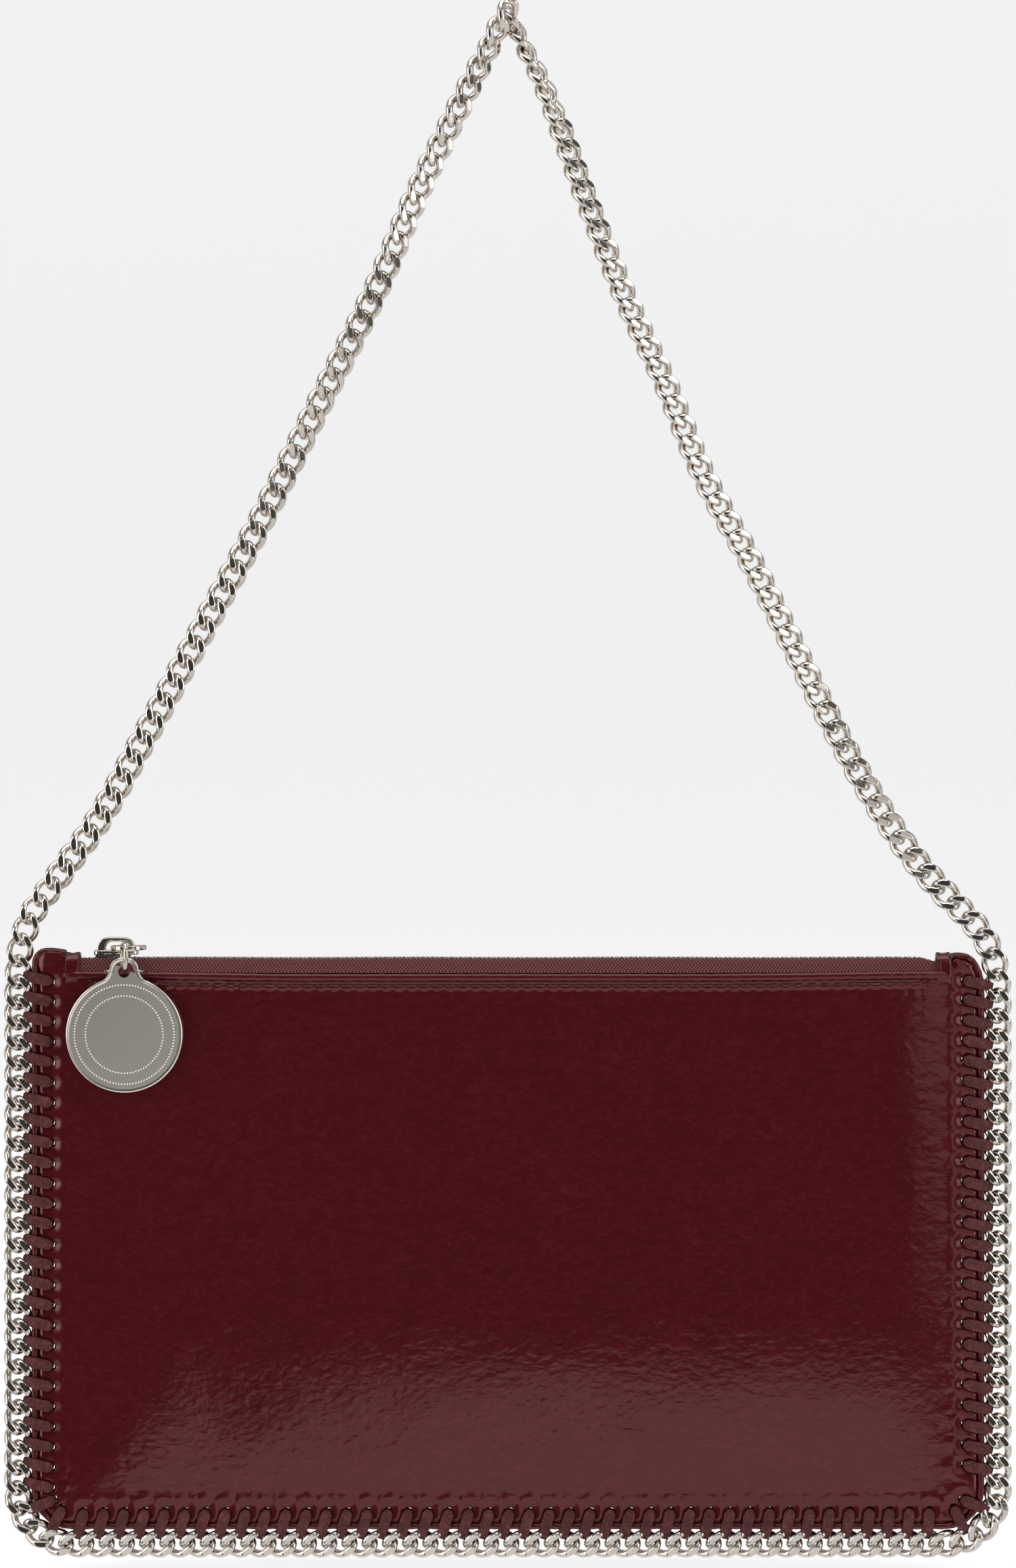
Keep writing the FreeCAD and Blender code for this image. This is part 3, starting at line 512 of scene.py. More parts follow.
def lace_strap(p, e, r):
    """A flat lace: out of the hole at the front, over the edge and back into the hole from behind."""
    # path in (s, y): s from the outer end (0) towards the hole (D)
    D = 7.0
    j = r.uniform(-0.12, 0.12)
    path = [(D + 0.05, 0.0), (D + 0.1, -1.1), (D - 0.02, -1.75), (D - 0.55, -2.12 + j), (D - 1.6, -2.25 + j), (4.2, -2.22), (2.9, -2.12), (1.9, -1.62),
            (1.1, -1.22), (0.5, -1.04), (0.1, -0.62), (-0.08, 0.0), (0.1, 0.62), (0.5, 1.04), (1.1, 1.22), (1.9, 1.62), (2.9, 2.12), (4.2, 2.22), (D - 1.6, 2.25),
            (D - 0.55, 2.12), (D - 0.02, 1.75), (D + 0.1, 1.1)]
    n = len(path)
    P = []
    for i in range(n):               # closed smooth curve
        a, b, c, d = (np.array(path[(i + k - 1) % n]) for k in range(4))
        for t in (0, 1 / 3, 2 / 3):
            P.append(0.5 * (2 * b + (c - a) * t + (2 * a - 5 * b + 4 * c - d) * t * t + (3 * b - a - 3 * c + d) * t ** 3))
    P = np.array(P); n = len(P)
    at = np.array([p[0] + e[0] * 6.2, p[1] + e[1] * 6.2])
    rise = float(swell(at[None])[0]) - 1.75
    P[:, 1] += np.sign(P[:, 1]) * rise * np.clip(P[:, 0] / 6.2, 0, 1.1) ** 1.2 * np.clip(np.abs(P[:, 1]) / 1.7, 0, 1)
    T = np.roll(P, -1, 0) - np.roll(P, 1, 0); T /= np.linalg.norm(T, axis=1, keepdims=True)
    Nn = np.stack([-T[:, 1], T[:, 0]], 1)
    s = P[:, 0]
    # full width on the faces, squeezed where it passes the hole and the links
    half = 1.36 - 0.58 * np.exp(-((s - D - 0.1) / 0.5) ** 2) - 0.42 * np.exp(-(s / 1.0) ** 2)
    half = half * (1 + 0.03 * np.sin(s * 2.1 + r.uniform(0, 6)))
    th = 0.36 - 0.10 * np.exp(-((s - 0.3) / 1.1) ** 2)
    prof = [(-1, -0.55), (-0.9, -0.95), (-0.5, -1.05), (0, -1.1), (0.5, -1.05), (0.9, -0.95), (1, -0.55), (1, 0.55), (0.9, 0.95), (0.5, 1.0), (0, 1.02), (-0.5, 1.0), (-0.9, 0.95), (-1, 0.55)]
    prof = np.array(prof)
    e3 = np.array([e[0], 0, e[1]]); y3 = np.array([0, 1.0, 0]); t3 = np.array([-e[1], 0, e[0]])
    o = np.array([p[0], 0, p[1]])
    V = []
    for i in range(n):
        c = o + e3 * P[i, 0] + y3 * P[i, 1]
        nn = e3 * Nn[i, 0] + y3 * Nn[i, 1]
        for q in prof:
            V.append(c + t3 * q[0] * half[i] + nn * q[1] * th[i])
    return np.array(V), rings((n, len(prof)), True)


# =====================================================================  leather panels
GROOVE_X, GROOVE_Z, GROOVE_R = 116.75, -377.4, 8.2
TOP_Z, NOTCH = -242.78, 109.7
EARS = {-1: -235.1, 1: -235.9}


def seg_sdf(P, poly):
    """Signed distance to a closed polygon, negative inside."""
    d = np.full(len(P), 1e9); inside = np.zeros(len(P), bool)
    n = len(poly)
    for i in range(n):
        a, b = np.array(poly[i - 1]), np.array(poly[i])
        e = b - a; w = P - a
        t = np.clip((w @ e) / (e @ e), 0, 1)
        q = w - t[:, None] * e
        d = np.minimum(d, (q ** 2).sum(1))
        c1 = (a[1] > P[:, 1]) != (b[1] > P[:, 1])
        with np.errstate(divide="ignore", invalid="ignore"):
            xi = a[0] + (P[:, 1] - a[1]) / (b[1] - a[1]) * (b[0] - a[0])
        inside ^= c1 & (P[:, 0] < xi)
    d = np.sqrt(d)
    return np.where(inside, -d, d)


def rounded(poly, radii, n=9):
    out = []
    m = len(poly)
    for i in range(m):
        p = np.array(poly[i], float); a = np.array(poly[i - 1], float); c = np.array(poly[(i + 1) % m], float)
        r = radii[i]
        u = (a - p) / np.linalg.norm(a - p); w = (c - p) / np.linalg.norm(c - p)
        if r <= 0:
            out.append(tuple(p)); continue
        half = math.acos(max(-1, min(1, float(u @ w)))) / 2
        k = r / math.tan(half)
        s, e = p + u * k, p + w * k
        cen = p + (u + w) / np.linalg.norm(u + w) * r / math.sin(half)
        a0 = math.atan2(*(s - cen)[::-1]); a1 = math.atan2(*(e - cen)[::-1])
        da = (a1 - a0 + math.pi) % (2 * math.pi) - math.pi
        for j in range(n + 1):
            an = a0 + da * j / n
            out.append((cen[0] + r * math.cos(an), cen[1] + r * math.sin(an)))
    return out


def lift(x):
    return 0.55 * sstep(50, 104, np.abs(x))


def panel_poly(inset=0.0):
    g, b = GROOVE_X - inset, GROOVE_Z + inset
    pts = [(-g, b), (g, b), (g, EARS[1] - 0.9), (NOTCH + 0.3, EARS[1] - 1.6), (NOTCH + 0.3, TOP_Z - 0.4), (NOTCH - 3.5, TOP_Z + 0.55), (78.0, TOP_Z + 0.28), (50.0, TOP_Z),
           (-50.0, TOP_Z), (-78.0, TOP_Z + 0.28), (-NOTCH + 3.5, TOP_Z + 0.55), (-NOTCH - 0.3, TOP_Z - 0.4), (-NOTCH - 0.3, EARS[-1] - 0.7), (-g, EARS[-1] - 0.1)]
    return rounded(pts, [GROOVE_R, GROOVE_R, 5.2, 1.2, 0.6, 1.0, 6, 6, 6, 6, 1.0, 0.6, 1.2, 2.6])


def swell(P):
    """How far the outer skin stands out from the middle plane."""
    x, z = np.abs(P[:, 0]), P[:, 1]
    a = 1 - (1 - np.clip((117.0 - x) / 33.0, 0, 1)) ** 2.0
    b = 1 - (1 - np.clip((z + 377.6) / 54.0, 0, 1)) ** 2.0
    return 1.75 + 3.65 * a * b


def hole_info(P):
    """Nearest hole index and its distance."""
    best = np.full(len(P), 1e9); idx = np.zeros(len(P), int)
    for s in range(0, len(P), 40000):
        Q = P[s:s + 40000]
        d = ((Q[:, None, :] - HOLE_C[None]) ** 2).sum(2)
        idx[s:s + 40000] = d.argmin(1); best[s:s + 40000] = d.min(1)
    return idx, np.sqrt(best)


HOLE_C = HOLES + LACE_DIR * 0.12
HOLE_R = 0.90


def relief(P, seed):
    """Crinkles, puckers round the holes and channels under the laces, added to swell()."""
    x, z = P[:, 0], P[:, 1]
    fine = wnoise(P * [1, 1.8], 1.35, seed + 2, 2)
    h = 0.014 * wnoise(P * [1, 1.9], 3.4, seed, 3) + 0.10 * wnoise(P, 22.0, seed + 1, 2) + 0.006 * fine + 0.045 * fine ** 3
    idx, d = hole_info(P)
    e = LACE_DIR[idx]; t = np.stack([-e[:, 1], e[:, 0]], 1)
    rel = P - HOLE_C[idx]
    along = (rel * e).sum(1); across = (rel * t).sum(1)
    near = np.exp(-(d / 1.75) ** 2)
    rim = np.exp(-((d - 3.1) / 1.15) ** 2)
    inner = sstep(-0.6, 1.6, along)
    h += -0.45 * near + 0.13 * rim * inner
    under = sstep(1.9, 0.9, np.abs(across)) * sstep(0.6, -0.6, along)
    between = sstep(1.3, 2.4, np.abs(across)) * sstep(1.5, -0.8, along)
    h += -0.08 * under + 0.13 * between
    # radial pleats running inward from each hole
    ang = np.arctan2(across, along)
    h += 0.03 * np.cos(ang * 5 + idx * 1.7) * np.exp(-((d - 4.2) / 2.2) ** 2) * inner
    # the edge rolls down into the groove beside the binding
    dd = -seg_sdf(P, POLY)
    bottomish = (z < -239.5)
    h -= 0.75 * np.exp(-(dd / 0.55) ** 2) * bottomish * ((z < -243.5) | (np.abs(x) > 113)) + 0.35 * np.exp(-(dd / 0.9) ** 2) * (z > -239.5)
    # scalloped pucker line under the hem
    hemx = np.abs(x) < 104
    k = x / 3.2
    cusp = np.abs(np.sin(k * math.pi))
    zs = -243.15 - 0.5 * cusp + lift(x)
    h += hemx * (0.36 * np.exp(-((z - zs + 0.72) / 0.45) ** 2) - 0.45 * np.exp(-((z - zs) / 0.28) ** 2) + 0.05 * np.exp(-((z + 246.0) / 1.5) ** 2) * (0.2 + 0.8 * cusp))
    return h


POLY = panel_poly()


def leather(name, s, step, seed, body, nodes, key="patent", slot="patent_leather"):
    """One skin with its rolled rim; s -1 front, 1 back."""
    global HOLE_C
    HOLE_C = HOLES + LACE_DIR * (0.12 if s < 0 else -0.22)
    xs = np.arange(-GROOVE_X - 2 * step, GROOVE_X + 2 * step, step); zs = np.arange(GROOVE_Z - 2 * step, EARS[-1] + 2 * step, step)
    X, Z = np.meshgrid(xs, zs, indexing="ij")
    P = np.stack([X.ravel(), Z.ravel()], 1)
    o = seg_sdf(P, POLY)
    idx, d = hole_info(P)
    hole = HOLE_R - d
    sd = np.maximum(o, hole)
    nx, nz = X.shape
    g = np.arange(nx * nz).reshape(nx, nz)
    F = np.stack([g[:-1, :-1], g[1:, :-1], g[1:, 1:], g[:-1, 1:]], -1).reshape(-1, 4)
    keep = (sd[F] < 0).sum(1) >= 2
    F = F[keep]
    # pull outside vertices back on to the edge
    out = np.unique(F[sd[F] > 0])
    Q = P.copy()
    eps = 0.02
    for _ in range(2):
        p = Q[out]
        i2, d2 = hole_info(p)
        hv = HOLE_R - d2
        ov = seg_sdf(p, POLY)
        useh = hv > ov
        gx = (seg_sdf(p + [eps, 0], POLY) - seg_sdf(p - [eps, 0], POLY)) / (2 * eps)
        gz = (seg_sdf(p + [0, eps], POLY) - seg_sdf(p - [0, eps], POLY)) / (2 * eps)
        gr = np.stack([gx, gz], 1)
        hd = p - HOLE_C[i2]; hd /= np.maximum(np.linalg.norm(hd, axis=1, keepdims=True), 1e-6)
        step_v = np.where(useh[:, None], hd * hv[:, None], -gr * ov[:, None])
        Q[out] = p + np.where((np.maximum(hv, ov) > 0)[:, None], step_v, 0)
    used = np.unique(F)
    remap = np.full(len(Q), -1); remap[used] = np.arange(len(used))
    Q = Q[used]; F = remap[F]
    y = swell(Q) + relief(Q, seed)
    V = np.stack([Q[:, 0], s * y, Q[:, 1]], 1)
    # rim: walls from every open edge to the inner side
    E = np.sort(np.concatenate([F[:, [0, 1]], F[:, [1, 2]], F[:, [2, 3]], F[:, [3, 0]]]), axis=1)
    Ed = np.concatenate([F[:, [0, 1]], F[:, [1, 2]], F[:, [2, 3]], F[:, [3, 0]]])
    key_ = E[:, 0].astype(np.int64) * len(Q) + E[:, 1]
    uq, inv, cnt = np.unique(key_, return_inverse=True, return_counts=True)
    open_e = Ed[cnt[inv] == 1]
    ring_v = np.unique(open_e)
    m2 = np.full(len(Q), -1); m2[ring_v] = len(Q) + np.arange(len(ring_v))
    V2 = V[ring_v].copy(); V2[:, 1] -= s * 1.0
    W = np.stack([open_e[:, 1], open_e[:, 0], m2[open_e[:, 0]], m2[open_e[:, 1]]], 1)
    V = np.concatenate([V, V2]); F = np.concatenate([F, W])
    if s < 0:
        pass
    else:
        F = F[:, ::-1]
    ob = new_mesh(name, V, F, True)
    return piece(ob, key, slot, body, *nodes)


STEP = 0.42
leather("front_skin", -1, STEP, 21, "pouch", ["front_panel"])
leather("back_skin", 1, STEP * 1.3, 57, "pouch", ["back_panel"])

for grp, body_nodes in (("left", "lace_left"), ("bottom", "lace_bottom"), ("right", "lace_right")):
    r = np.random.default_rng(11)
    V, F = join([lace_strap(p, e, r) for g, p, e in LACES if g == grp])
    piece(new_mesh("lacing_" + grp, V, F), "lace", "lace_leather", "pouch", body_nodes)



# ---------------------------------------------------------------------  general sweeps
def sweep(C, T, N, B, prof, closed=False, cap=True):
    """C centres, N and B frames (n, 3); prof (n, m, 2) offsets along N and B."""
    n, m = prof.shape[:2]
    V = C[:, None] + prof[..., :1] * N[:, None] + prof[..., 1:] * B[:, None]
    V = V.reshape(-1, 3)
    F = rings((n, m), closed)
    if cap and not closed:
        F = [list(f) for f in F] + [list(range(m))[::-1], [(n - 1) * m + k for k in range(m)]]
    return V, F


def tube_ring(m):
    a = np.linspace(0, 2 * np.pi, m, endpoint=False)
    return np.stack([np.cos(a), np.sin(a)], 1)


def solid_from(name, items, smooth=True, sharp=None):
    """Join (V, F) items whose F may be lists."""
    n, Vs, Fs = 0, [], []
    for V, F in items:
        Vs.append(np.asarray(V)); Fs += [[int(k) + n for k in f] for f in F]; n += len(V)
    return new_mesh(name, np.concatenate(Vs), Fs, smooth, sharp)


# ---------------------------------------------------------------------  bound edge beyond the groove
def edge_path():
    """Centre line of the edge binding: down the left, round the bottom, up the right."""
    x, b, r = 117.55, -378.2, 9.2
    pts = [(-109.9, -236.05), (-111.2, -235.75), (-113.0, -235.55), (-114.8, -235.5), (-116.1, -235.85), (-116.95, -236.7), (-117.4, -237.9)]
    pts += [(-x, z) for z in np.arange(-239.4, b + r, -1.2)]
    pts += [(-x + r - r * math.cos(t), b + r - r * math.sin(t)) for t in np.linspace(0, math.pi / 2, 14)]
    pts += [(xx, b) for xx in np.arange(-x + r + 1.2, x - r, 1.2)]
    pts += [(x - r + r * math.sin(t), b + r - r * math.cos(t)) for t in np.linspace(0, math.pi / 2, 14)]
    pts += [(x, z) for z in np.arange(b + r + 1.2, -243.5, 1.2)]
    pts += [(x - 0.2, -242.3), (x - 0.7, -240.6), (x - 1.4, -239.0), (x - 2.3, -237.8), (x - 3.6, -236.95), (x - 5.4, -236.65), (x - 7.4, -236.8)]
    return np.array(pts)


def binding():
    P = edge_path()
    L = np.concatenate([[0], np.cumsum(np.linalg.norm(np.diff(P, axis=0), axis=1))])
    s = np.arange(0, L[-1], 0.55)
    Q = np.stack([np.interp(s, L, P[:, 0]), np.interp(s, L, P[:, 1])], 1)
    T = np.gradient(Q, axis=0); T /= np.linalg.norm(T, axis=1, keepdims=True)
    O = np.stack([T[:, 1], -T[:, 0]], 1)          # outward for this direction of travel
    m = 24
    a = np.linspace(0, 2 * np.pi, m, endpoint=False)
    # a flat oval: thin across the edge, deep front to back
    wr = 1 + 0.05 * wnoise(np.stack([s, s * 0], 1), 3.1, 5)[:, None] + 0.05 * np.sin(s * 2.1)[:, None] * np.sin(a * 3)[None]
    # it is drawn in under every lace
    d = np.abs(Q[:, None, :] - (LACE_OUT + LACE_DIR * 2.6)[None]).sum(2).min(1)
    squeeze = 1 - 0.16 * np.exp(-(d / 1.5) ** 2)
    sx = 0.92 * np.sign(np.cos(a)) * np.abs(np.cos(a)) ** 0.85
    sy = 1.95 * np.sign(np.sin(a)) * np.abs(np.sin(a)) ** 0.8
    off_n = sx[None] * wr
    off_b = sy[None] * wr * squeeze[:, None]
    C = np.stack([Q[:, 0], 0 * s, Q[:, 1]], 1)
    N = np.stack([O[:, 0], 0 * s, O[:, 1]], 1)
    B = np.tile([0, 1.0, 0], (len(s), 1))
    return sweep(C, None, N, B, np.stack([off_n, off_b], -1))


piece(solid_from("edge_binding", [binding()]), "patent", "patent_leather", "pouch", "edge_core")


# ---------------------------------------------------------------------  rolled hems along the mouth
def hem_y(x):
    P = np.stack([x, np.full_like(x, TOP_Z - 0.4)], 1)
    return swell(P)


def hem_roll(s, seed):
    x = np.arange(-110.6, 110.61, 0.4)
    y = hem_y(x)
    zc = -241.85 + lift(x) + 0.06 * wnoise(np.stack([x, x * 0], 1), 22, seed)
    m = 22
    a = np.linspace(0, 2 * np.pi, m, endpoint=False)
    yc = y - 0.25
    n1 = wnoise(np.stack([x, x * 0], 1), 5.0, seed + 1, 3)
    C = np.stack([x, s * yc, zc], 1)
    # diagonal pleats gathered by the stitches
    ph = (x[:, None] / 3.2 + 0.22 * np.sin(a)[None] + 0.12 * n1[:, None])
    pleat = np.abs(np.sin(ph * math.pi)) ** 0.6
    rr = 0.93 + 0.10 * (pleat - 0.6) + 0.03 * wnoise(np.stack([x * 1.0, x * 0], 1), 1.3, seed + 2, 2)[:, None] + 0.05 * n1[:, None]
    taper = np.ones_like(x)
    taper *= 0.55 + 0.45 * sstep(110.6, 108.8, np.abs(x))
    rr = rr * taper[:, None]
    N = np.tile([0, 1.0 * s, 0], (len(x), 1)); B = np.tile([0, 0, 1.0], (len(x), 1))
    offn = rr * np.cos(a)[None] * 0.92
    offb = rr * np.sin(a)[None] * 1.02
    return sweep(C, None, N, B, np.stack([offn, offb], -1))


for s, nm, nd in ((-1, "front_roll", "front_hem"), (1, "rear_roll", "rear_hem")):
    piece(solid_from(nm, [hem_roll(s, 40 + s)]), "patent", "patent_leather", "pouch", nd)


# ---------------------------------------------------------------------  hem stitches
def stitches():
    items = []
    for s in (-1, 1):
        r = np.random.default_rng(9 + s)
        for k in range(-31, 32):
            x0 = k * 3.2 + r.uniform(-0.08, 0.08)
            if abs(x0) > 103:
                continue
            y0 = float(hem_y(np.array([x0]))[0])
            t = np.linspace(0, 1, 9)
            px = x0 - 1.0 + 2.0 * t
            pz = -243.3 + lift(x0) + 0.12 * np.sin(t * math.pi) + r.uniform(-0.04, 0.04) + (t - 0.5) * r.uniform(-0.1, 0.1)
            py = s * (y0 - 0.42 + 0.42 * np.sin(t * math.pi) ** 0.6)
            C = np.stack([px, py, pz], 1)
            rad = 0.2 * np.sin(np.clip(t, 0.03, 0.97) * math.pi) ** 0.25
            ringp = tube_ring(8)
            N = np.tile([0, 1.0, 0], (9, 1)); B = np.tile([0, 0, 1.0], (9, 1))
            items.append(sweep(C, None, N, B, ringp[None] * rad[:, None, None]))
    return items


piece(solid_from("hem_thread", stitches()), "thread", "thread", "pouch", "hem_stitches")


# ---------------------------------------------------------------------  linings
def lining_skin(name, s, nodes):
    step = 1.1
    xs = np.linspace(-108.8, 108.8, 200); zs = np.linspace(-369.6, -242.9, 118)
    X, Z = np.meshgrid(xs, zs, indexing="ij")
    P = np.stack([X.ravel(), Z.ravel()], 1)
    y = swell(P) - 1.42
    y = np.maximum(y, 0.12)
    y = y + 0.08 * wnoise(P, 9, 77 + s, 2) * sstep(0.3, 1.2, y)
    V = np.stack([P[:, 0], s * y, P[:, 1]], 1)
    V2 = V.copy(); V2[:, 1] -= s * np.minimum(0.32, np.maximum(y - 0.02, 0.02))
    nx, nz = X.shape
    g = np.arange(nx * nz).reshape(nx, nz)
    F = np.stack([g[:-1, :-1], g[1:, :-1], g[1:, 1:], g[:-1, 1:]], -1).reshape(-1, 4)
    rim = np.concatenate([g[:, 0], g[-1, 1:], g[-2::-1, -1], g[0, -2:0:-1]])
    nn = len(V)
    rim2 = np.roll(rim, -1)
    W = np.stack([rim2, rim, rim + nn, rim2 + nn], 1)
    V = np.concatenate([V, V2]); F = np.concatenate([F, F[:, ::-1] + nn, W])
    if s > 0:
        F = F[:, ::-1]
    return piece(new_mesh(name, V, F), "lining", "lining", "pouch", *nodes)


lining_skin("front_cloth", -1, ["front_lining"])
lining_skin("back_cloth", 1, ["back_lining"])


# =====================================================================  zip
def tape_top(x):
    """The stringer stands lower towards both parked ends."""
    return 1.0 * sstep(102.2, 107, x) + 0.06 * np.sin(x * 0.11 + 1.0) + 0.06


TP = [(-4.85, -240.75), (-4.3, -239.4), (-3.9, -238.2), (-3.5, -237.55), (-2.9, -237.42), (-2.2, -237.5)]


def tape_part(name, s, x0, x1, nodes, mouth):
    x = np.linspace(x0, x1, 236)
    n = len(x)
    prof = np.array(TP)
    # fill the profile smoothly
    q = []
    for i in range(len(prof) - 1):
        for k in range(5):
            q.append(prof[i] + (prof[i + 1] - prof[i]) * k / 5)
    q.append(prof[-1]); q = np.array(q)
    T = np.gradient(q, axis=0); T /= np.linalg.norm(T, axis=1, keepdims=True)
    Nn = np.stack([-T[:, 1], T[:, 0]], 1)
    dz = tape_top(x)
    hem_at = np.maximum(hem_y(x), 2.55)
    V = []
    for side in (0.0, 1.0):
        for i in range(n):
            f = (q[:, 1] + 240.75) / 3.3
            edge = sstep(0.72, 1.0, f)
            bumpz = 0.13 * np.sin(x[i] / 1.175 * 2 * np.pi) * edge
            yy = q[:, 0] * -1 * s * -1
            th = 0.42
            yq = q[:, 0] - Nn[:, 0] * th * side * -1
            zq = q[:, 1] + Nn[:, 1] * th * side
            lean = 0.10 * np.sin(x[i] * 0.35 + 1.0) * f
            kx = (hem_at[i] - 0.55 - 1.95) / (4.85 - 1.95)
            yk = np.where(yq < -1.95, -1.95 + (yq + 1.95) * kx, yq)
            V.append(np.stack([np.full(len(q), x[i]), -s * (yk + lean * kx), zq - dz[i] * np.clip(f, 0, 1) + bumpz], 1))
    V = np.array(V).reshape(2, n, len(q), 3)
    V[..., 1] *= 1.0
    m = len(q)
    loop = np.concatenate([V[0], V[1][:, ::-1]], axis=1)            # closed section per x
    F = rings((n, 2 * m), False)
    F = [list(f) for f in F] + [list(range(2 * m))[::-1], [(n - 1) * 2 * m + k for k in range(2 * m)]]
    ob = solid_from(name, [(loop.reshape(-1, 3), F)], True, 50)
    give(ob, "tape"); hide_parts(*nodes)
    return ob


def tooth(x, s, z0):
    """One stamped tooth: a rounded block with a nose."""
    L, W, H = 0.62, 0.72, 0.86
    u = np.linspace(-1, 1, 5); out = []
    n = 10
    a = np.linspace(0, 2 * np.pi, n, endpoint=False)
    pr = np.stack([np.sign(np.cos(a)) * np.abs(np.cos(a)) ** 0.55, np.sign(np.sin(a)) * np.abs(np.sin(a)) ** 0.55], 1)
    ws = [0.0, 0.8, 1.0, 1.0, 0.86, 0.0]; us = [-1.0, -0.97, -0.7, 0.6, 0.95, 1.0]
    V = []
    for k, w in zip(us, ws):
        taper = 1.0 - 0.28 * (k < -0.5)
        V.append(np.stack([x + pr[:, 0] * L * w * taper, np.full(n, s * (1.15 + k * W * 1.0)), z0 + pr[:, 1] * H * w], 1))
    return np.concatenate(V), rings((len(us), n), False)


def teeth_part(name, s, x0, x1, nodes):
    parts = []
    k0 = 0.0 if s < 0 else 1.175
    k = math.ceil((x0 - k0) / 2.35)
    while k * 2.35 + k0 <= x1:
        x = k * 2.35 + k0
        if -102.6 < x < 101.8:
            z = -237.6 - float(tape_top(np.array([x]))[0])
            parts.append(tooth(x, s, z))
        k += 1
    V, F = join(parts)
    ob = new_mesh(name, V, F, True, 40)
    give(ob, "zipm"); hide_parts(*nodes)
    return ob


for s, nm in ((-1, "front"), (1, "rear")):
    body = "mouth_" + nm
    yy = s * 0.0047
    for side, x0, x1 in (("left", -107.6, 0.0), ("right", 0.0, 107.6)):
        a = (-0.0905, yy, -0.239) if side == "left" else (0.0905, yy, -0.239)
        b = (-0.062, yy, -0.239) if side == "left" else (0.062, yy, -0.239)
        t = tape_part("tape_%s_%s" % (nm, side), s, x0, x1, ["zip_tape_" + nm, "zip_tape_ends"], body)
        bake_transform(t)
        q = teeth_part("teeth_%s_%s" % (nm, side), s, x0 + (0.01 if side == "right" else 0), x1, ["zip_teeth_" + nm, "zip_teeth_ends"])
        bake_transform(q)


# ---------------------------------------------------------------------  bevelled plates
def extrude(name, poly, axis, lo, hi, bevel, seg=3, holes=()):
    """A closed polygon (two coordinates) pulled along 'axis' from lo to hi with rounded edges."""
    bm = bmesh.new()
    ax = {"x": 0, "y": 1, "z": 2}[axis]
    oth = [k for k in range(3) if k != ax]

    def P(p, h):
        v = [0, 0, 0]; v[ax] = h * MM; v[oth[0]] = p[0] * MM; v[oth[1]] = p[1] * MM
        return v
    lo_v = [bm.verts.new(P(p, lo)) for p in poly]; hi_v = [bm.verts.new(P(p, hi)) for p in poly]
    n = len(poly)
    rim = []
    if not holes:
        bm.faces.new(lo_v); bm.faces.new(hi_v[::-1])
    for i in range(n):
        bm.faces.new([lo_v[i], hi_v[i], hi_v[(i + 1) % n], lo_v[(i + 1) % n]])
    for hpoly in holes:
        a_v = [bm.verts.new(P(p, lo)) for p in hpoly]; b_v = [bm.verts.new(P(p, hi)) for p in hpoly]
        m = len(hpoly)
        for i in range(m):
            bm.faces.new([a_v[i], a_v[(i + 1) % m], b_v[(i + 1) % m], b_v[i]])
        # annular caps with matching counts
        assert m == n
        for i in range(n):
            j = (i + 1) % n
            bm.faces.new([lo_v[i], lo_v[j], a_v[j], a_v[i]]); bm.faces.new([hi_v[i], b_v[i], b_v[j], hi_v[j]])
    bmesh.ops.recalc_face_normals(bm, faces=bm.faces)
    ed = [e for e in bm.edges if len(e.link_faces) == 2 and e.calc_face_angle(0) > math.radians(50)]
    if bevel:
        bmesh.ops.bevel(bm, geom=ed, offset=bevel * MM, segments=seg, profile=0.6, affect="EDGES", clamp_overlap=True)
    me = bpy.data.meshes.new(name); bm.to_mesh(me); bm.free()
    me.polygons.foreach_set("use_smooth", np.ones(len(me.polygons), bool)); me.set_sharp_from_angle(angle=math.radians(35)); me.update()
    ob = bpy.data.objects.new(name, me); scene.collection.objects.link(ob)
    return ob


def merge(name, obs):
    bpy.ops.object.select_all(action="DESELECT")
    for o in obs:
        o.select_set(True)
    bpy.context.view_layer.objects.active = obs[0]
    bpy.ops.object.join()
    obs[0].name = name; obs[0].data.name = name
    return obs[0]


SX = -97.4
shield = rounded([(SX - 5.5, -2.6), (SX - 3.0, -3.2), (SX + 5.5, -2.3), (SX + 5.5, 2.3), (SX - 3.0, 3.2), (SX - 5.5, 2.6)], [1.2, 2, 1.4, 1.4, 2, 1.2], 5)
sl = [extrude("s1", shield, "z", -236.3, -235.2, 0.32), extrude("s2", shield, "z", -240.0, -238.9, 0.32),
      extrude("s3", [(SX - 5.2, -0.22), (SX - 2.4, -0.22), (SX - 2.4, 0.22), (SX - 5.2, 0.22)], "z", -239.1, -236.1, 0),
      extrude("s4", [(SX - 3.0, -3.1), (SX + 3.5, -3.1), (SX + 3.5, -2.55), (SX - 3.0, -2.55)], "z", -236.84, -236.0, 0.12),
      extrude("s5", [(SX - 3.0, 2.55), (SX + 3.5, 2.55), (SX + 3.5, 3.1), (SX - 3.0, 3.1)], "z", -236.84, -236.0, 0.12)]
bx0, bx1 = SX - 4.68, SX + 4.62
arch = rounded([(bx0 - 0.1, -235.8), (bx0 - 0.1, -231.95), (bx1 + 0.1, -231.95), (bx1 + 0.1, -235.8), (bx1 - 1.25, -235.8), (bx1 - 1.25, -233.05), (bx0 + 2.1, -233.05), (bx0 + 2.1, -235.8)],
               [0, 2.9, 2.9, 0, 0, 1.7, 1.7, 0], 10)
sl.append(extrude("s6", arch, "y", -1.1, 1.1, 0.52, 5))
slider = merge("zip_runner", sl)
piece(slider, "pull", "pull_metal", "slider", "zip_slider")

